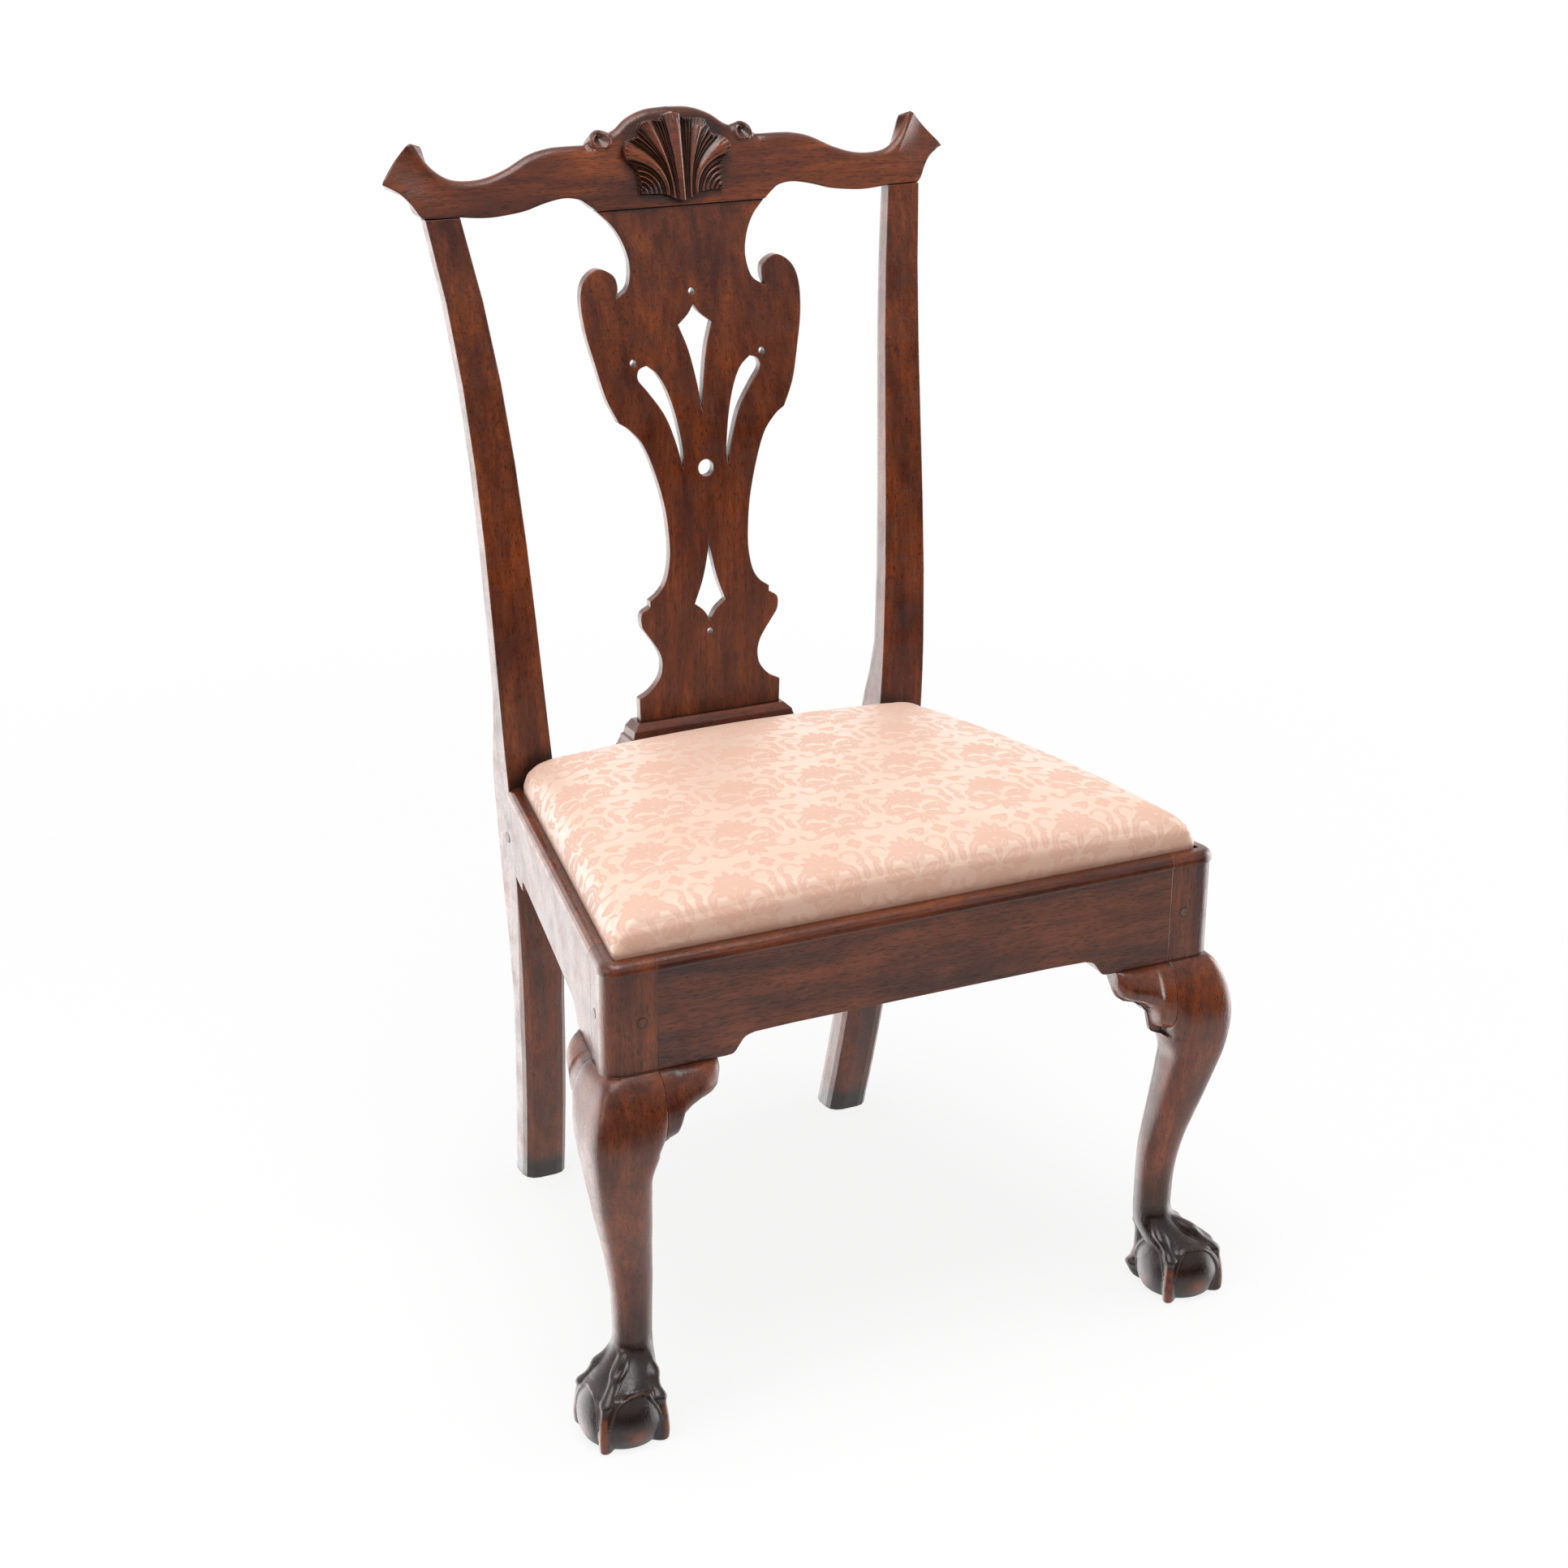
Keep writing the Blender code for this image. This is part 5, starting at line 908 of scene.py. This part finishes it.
def leaf(a, v, centre, radius, start, end, thick, thin, lobes):
    """Distance outside a curled leaf that thins towards its end, with lobes and a vein along it."""
    turn = np.degrees(np.arctan2(v - centre[1], a - centre[0]))
    t = ((turn - start) * math.copysign(1, end - start)) % 360 / abs(end - start)
    inside = t <= 1
    t = np.clip(t, 0, 1)
    off = np.abs(np.hypot(a - centre[0], v - centre[1]) - radius * (1 - 0.18 * t))
    wide = (thick + (thin - thick) * t) * (0.66 + 0.34 * np.abs(np.sin(np.pi * lobes * t)))
    far = np.maximum(off - wide, np.where(t < 0.75, VEIN - off, -99))
    return np.where(inside, far, 99)


def figure_of(p, q):
    """Distance outside the figure at places on the cloth, in millimetres: palmettes and leaves in a half drop."""
    p, q = p * REPEAT / WOVEN, (q + 18) * REPEAT / WOVEN
    row = np.floor(q / REPEAT)
    a = np.abs((p + REPEAT / 2 * (row % 2) + REPEAT / 2) % REPEAT - REPEAT / 2)
    v = q - row * REPEAT
    shapes = [petal(a, v, (1.5 * k, 56), 27 * k, 27 - 3 * k, 5.4) for k in range(4)]  # a fan of petals
    shapes += [petal(a, v, *numbers) for numbers in PETALS]
    shapes += [leaf(a, v, *numbers) for numbers in LEAVES]
    shapes += [np.hypot(a - x, v - y) - radius for x, y, radius in BERRIES]
    shapes += [np.maximum(np.abs(a) - 1.1, np.abs(v - 12) - 12)]  # the stem
    return np.clip(np.minimum.reduce(shapes), -4, 4)


UNDER = (  # millimetres in from the seat's edge and above the floor, where the cloth turns under the frame
    (15, SLIP_LOW + 0.2), (8, SLIP_LOW + 0.1), (2, SLIP_LOW + 0.1), (0.2, SLIP_LOW + 0.9),
)
SWELL = 5  # most that the cloth rises over the stuffing
SWELL_STEPS = 20


def unrolled(rows):
    """Places on the flat cloth for rows of points, measured along the surface from its middle."""
    outwards = seat_row(0.5, 10) - seat_row(8.5, 12)
    outwards /= np.linalg.norm(outwards, axis=1)[:, None]
    flat = rows[:, :, :2].copy()
    for k in range(len(rows) - 2, -1, -1):
        step = rows[k] - rows[k + 1]
        plan = step[:, :2]
        length = np.linalg.norm(step, axis=1)[:, None]
        level = np.linalg.norm(plan, axis=1)[:, None]
        direction = np.where(level > 0.3 * length, plan / np.maximum(level, 1e-6), outwards)
        # Below the frame the cloth turns inwards, but goes on outwards when laid flat
        flat[k] = flat[k + 1] + (outwards if k < len(UNDER) else direction) * length
    return flat


def swollen(rows):
    """Rows of the cloth after it swells a little over the stuffing, held where it goes down inside the rails."""
    points, faces = skin(on_chair(rows[8:]))  # from just below the rails' top
    mesh = bpy.data.meshes.new("swelling_cloth")
    mesh.from_pydata(points.tolist(), [], faces)
    cloth = in_scene("swelling_cloth", mesh)
    even = cloth.modifiers.new("even", "REMESH")
    even.mode = "VOXEL"
    even.voxel_size = 6 * MM
    cloth.data = bpy.data.meshes.new_from_object(cloth.evaluated_get(bpy.context.evaluated_depsgraph_get()))
    cloth.modifiers.clear()
    before = np.array([v.co for v in cloth.data.vertices])
    held = cloth.vertex_groups.new(name="held")
    held.add(np.flatnonzero(before[:, 2] < (SEAT_TOP + 4) * MM).tolist(), 1, "REPLACE")
    swelling = cloth.modifiers.new("swelling", "CLOTH")
    swelling.settings.vertex_group_mass = "held"
    swelling.settings.use_pressure = True
    swelling.settings.uniform_pressure_force = 4
    swelling.settings.effector_weights.gravity = 0
    swelling.point_cache.frame_end = SWELL_STEPS
    for step in range(1, SWELL_STEPS + 1):
        bpy.context.scene.frame_set(step)
    after = cloth.evaluated_get(bpy.context.evaluated_depsgraph_get()).data
    moved = (np.array([v.co for v in after.vertices]) - before) / MM
    bpy.context.scene.frame_set(1)
    bpy.data.objects.remove(cloth)
    moved = np.clip(moved * (0, 0, SWELL / max(moved[:, 2].max(), SWELL)), 0, SWELL)
    near = KDTree(len(before))
    for k, point in enumerate(before):
        near.insert(point, k)
    near.balance()
    follow = np.zeros_like(rows).reshape(-1, 3)
    for k, point in enumerate(on_chair(rows).reshape(-1, 3)):
        found = near.find_n(point, 8)
        weight = np.array([1 / (1 * MM + gap) ** 2 for _, _, gap in found])
        follow[k] = weight @ moved[[index for _, index, _ in found]] / weight.sum()
    follow *= ease(rows[..., 2], SEAT_TOP + 2, SEAT_TOP + 16).reshape(-1, 1)
    return rows + follow.reshape(rows.shape)


def finer(rows, down, along):
    """More rows and more points in each, on smooth curves through those given."""
    count = rows.shape[1]
    at = np.arange(down * (len(rows) - 1) + 1) / down
    rows = through(np.column_stack([np.arange(len(rows)), rows.reshape(len(rows), -1)]), at)
    rows = rows.T.reshape(len(at), count, -1)
    closed = np.concatenate([rows[:, -2:], rows, rows[:, :3]], axis=1).swapaxes(0, 1)
    table = np.column_stack([np.arange(-2, count + 3), closed.reshape(count + 5, -1)])
    around = through(table, np.arange(along * count) / along)
    return around.T.reshape(along * count, len(at), -1).swapaxes(0, 1)


upright = [(0, z) for z in np.linspace(SLIP_LOW + 4, SEAT_TOP, 6)]
cover_rows = seat_rows(0.55, 0, [*UNDER, *upright])
flat_cloth = unrolled(cover_rows)
cover_rows = swollen(cover_rows)
detail = ((4, 6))
fine_cloth = finer(flat_cloth, *detail).reshape(-1, 2)
cover_skin = skin(on_chair(finer(cover_rows, *detail)), ends=(-1,))
cover = make("damask_cover", [cover_skin], damask(), 80, outside=figure_of(*fine_cloth.T))
uv_from(cover.data, "cloth", fine_cloth * MM)
stands_for(cover, "slip_seat", "silk_damask", "seat_cover")

# Floor, light and background: a pale studio floor that fades into plain white, under one large soft lamp
# overhead and a weaker one at each side.
FLOOR = 2.4  # half its width in metres
floor_paint, tree, floor_shader = material("studio_floor", 0.9)
feed(tree, floor_shader, {"Base Color": srgb("#FCFCFC"), "Specular IOR Level": 0})
place = add(tree, "TexCoord", {}, "Object")
away = add(tree, "VectorMath", {0: place}, "Value", operation="LENGTH")
near = add(tree, "MapRange", {0: away, 1: 2.2, 2: 0.8}, interpolation_type="SMOOTHSTEP")
# To the camera the floor is nearly as white as the background, and the shadow on it is faint
seen = add(tree, "LightPath", {}, "Is Camera Ray")
lift = add(tree, "Math", {0: seen, 1: 0.85}, operation="MULTIPLY")
white = add(tree, "Emission", {})
shown = add(tree, "MixShader", {0: lift, 1: floor_shader.outputs[0], 2: white})
clear = add(tree, "BsdfTransparent", {})
shown = add(tree, "MixShader", {0: near, 1: clear, 2: shown})
feed(tree, tree.nodes["Material Output"], {"Surface": shown})
floor_paint.cycles.emission_sampling = "NONE"
corners = np.array([[(-FLOOR, y, 0), (FLOOR, y, 0)] for y in (-FLOOR, FLOOR)])
floor = make("studio_floor", [skin(corners, around=False, ends=())], floor_paint)
floor.location.z = -0.2 * MM
floor.visible_glossy = False

lamps = (  # place, size and power of each soft lamp
    ("lamp_over", (-0.5, -0.6, 4.6), (3.0, 3.0), 145),
    ("lamp_left", (-2.8, -0.4, 1.3), (1.4, 1.8), 16),
    ("lamp_right", (2.8, 0.0, 1.1), (1.0, 1.6), 12),
)
for name, place, size, power in lamps:
    lamp = bpy.data.lights.new(name, "AREA")
    lamp.shape = "RECTANGLE"
    lamp.size, lamp.size_y = size
    lamp.energy = power
    stand = in_scene(name, lamp)
    stand.location = place
    stand.rotation_euler = (Vector((0, 0, 0.45)) - Vector(place)).to_track_quat("-Z", "Y").to_euler()

world = bpy.data.worlds.new("white_studio")
world.use_nodes = True
bpy.context.scene.world = world
tree = world.node_tree
# Varnish and silk mirror the pale floor, a bright wall on the right, a backdrop with one bright patch behind
# the chair's left side, and a room in front that is dim at eye height
seen = add(tree, "LightPath", {}).node.outputs
facing = add(tree, "TexCoord", {}, "Generated")
patch = Vector((-0.6, 0.75, -0.25)).normalized()
towards = add(tree, "VectorMath", {0: facing, 1: patch}, "Value", operation="DOT_PRODUCT")
mirrored = add(tree, "MapRange", {0: towards, 1: 0.65, 2: 0.97, 4: 4.2}, interpolation_type="SMOOTHSTEP")
rightwards, rearwards, upwards = add(tree, "SeparateXYZ", {0: facing}).node.outputs
for value, start, end, most in (
    (rightwards, 0.78, 0.95, 5.0),
    (rearwards, 0.2, 0.75, 1.7),
    (upwards, -0.1, -0.5, 1.1),
    (upwards, 0.05, 0.4, 0.7),
):
    part = add(tree, "MapRange", {0: value, 1: start, 2: end, 3: 0.05, 4: most})
    mirrored = add(tree, "Math", {0: mirrored, 1: part}, operation="MAXIMUM")
level = add(tree, "Mix", {0: seen["Is Glossy Ray"], 2: 0.36, 3: mirrored})
level = add(tree, "Mix", {0: seen["Is Camera Ray"], 2: level, 3: 1.0})
feed(tree, tree.nodes["Background"], {"Color": (1, 1, 1, 1), "Strength": level})

# Camera: a long lens, higher than the chair's back and to the left of its front, looking down a little, as
# the photograph was taken.
PICTURE = 1932
FOCAL = 3608.23  # in pixels of the picture
AZIMUTH, ELEVATION, ROLL = map(math.radians, (-26.568, 21.088, 0.472))
lens = bpy.data.cameras.new("camera")
lens.sensor_width = 36
lens.lens = FOCAL / PICTURE * lens.sensor_width
lens.clip_start = 0.05
camera = in_scene("camera", lens)
camera.matrix_world = (
    Matrix.Translation((-1.08627, -1.91004 + FRONT, 1.37688))
    @ Matrix.Rotation(AZIMUTH, 4, "Z")
    @ Matrix.Rotation(math.pi / 2 - ELEVATION, 4, "X")
    @ Matrix.Rotation(ROLL, 4, "Z")
)
bpy.context.scene.camera = camera
bpy.context.scene.view_settings.view_transform = "Standard"
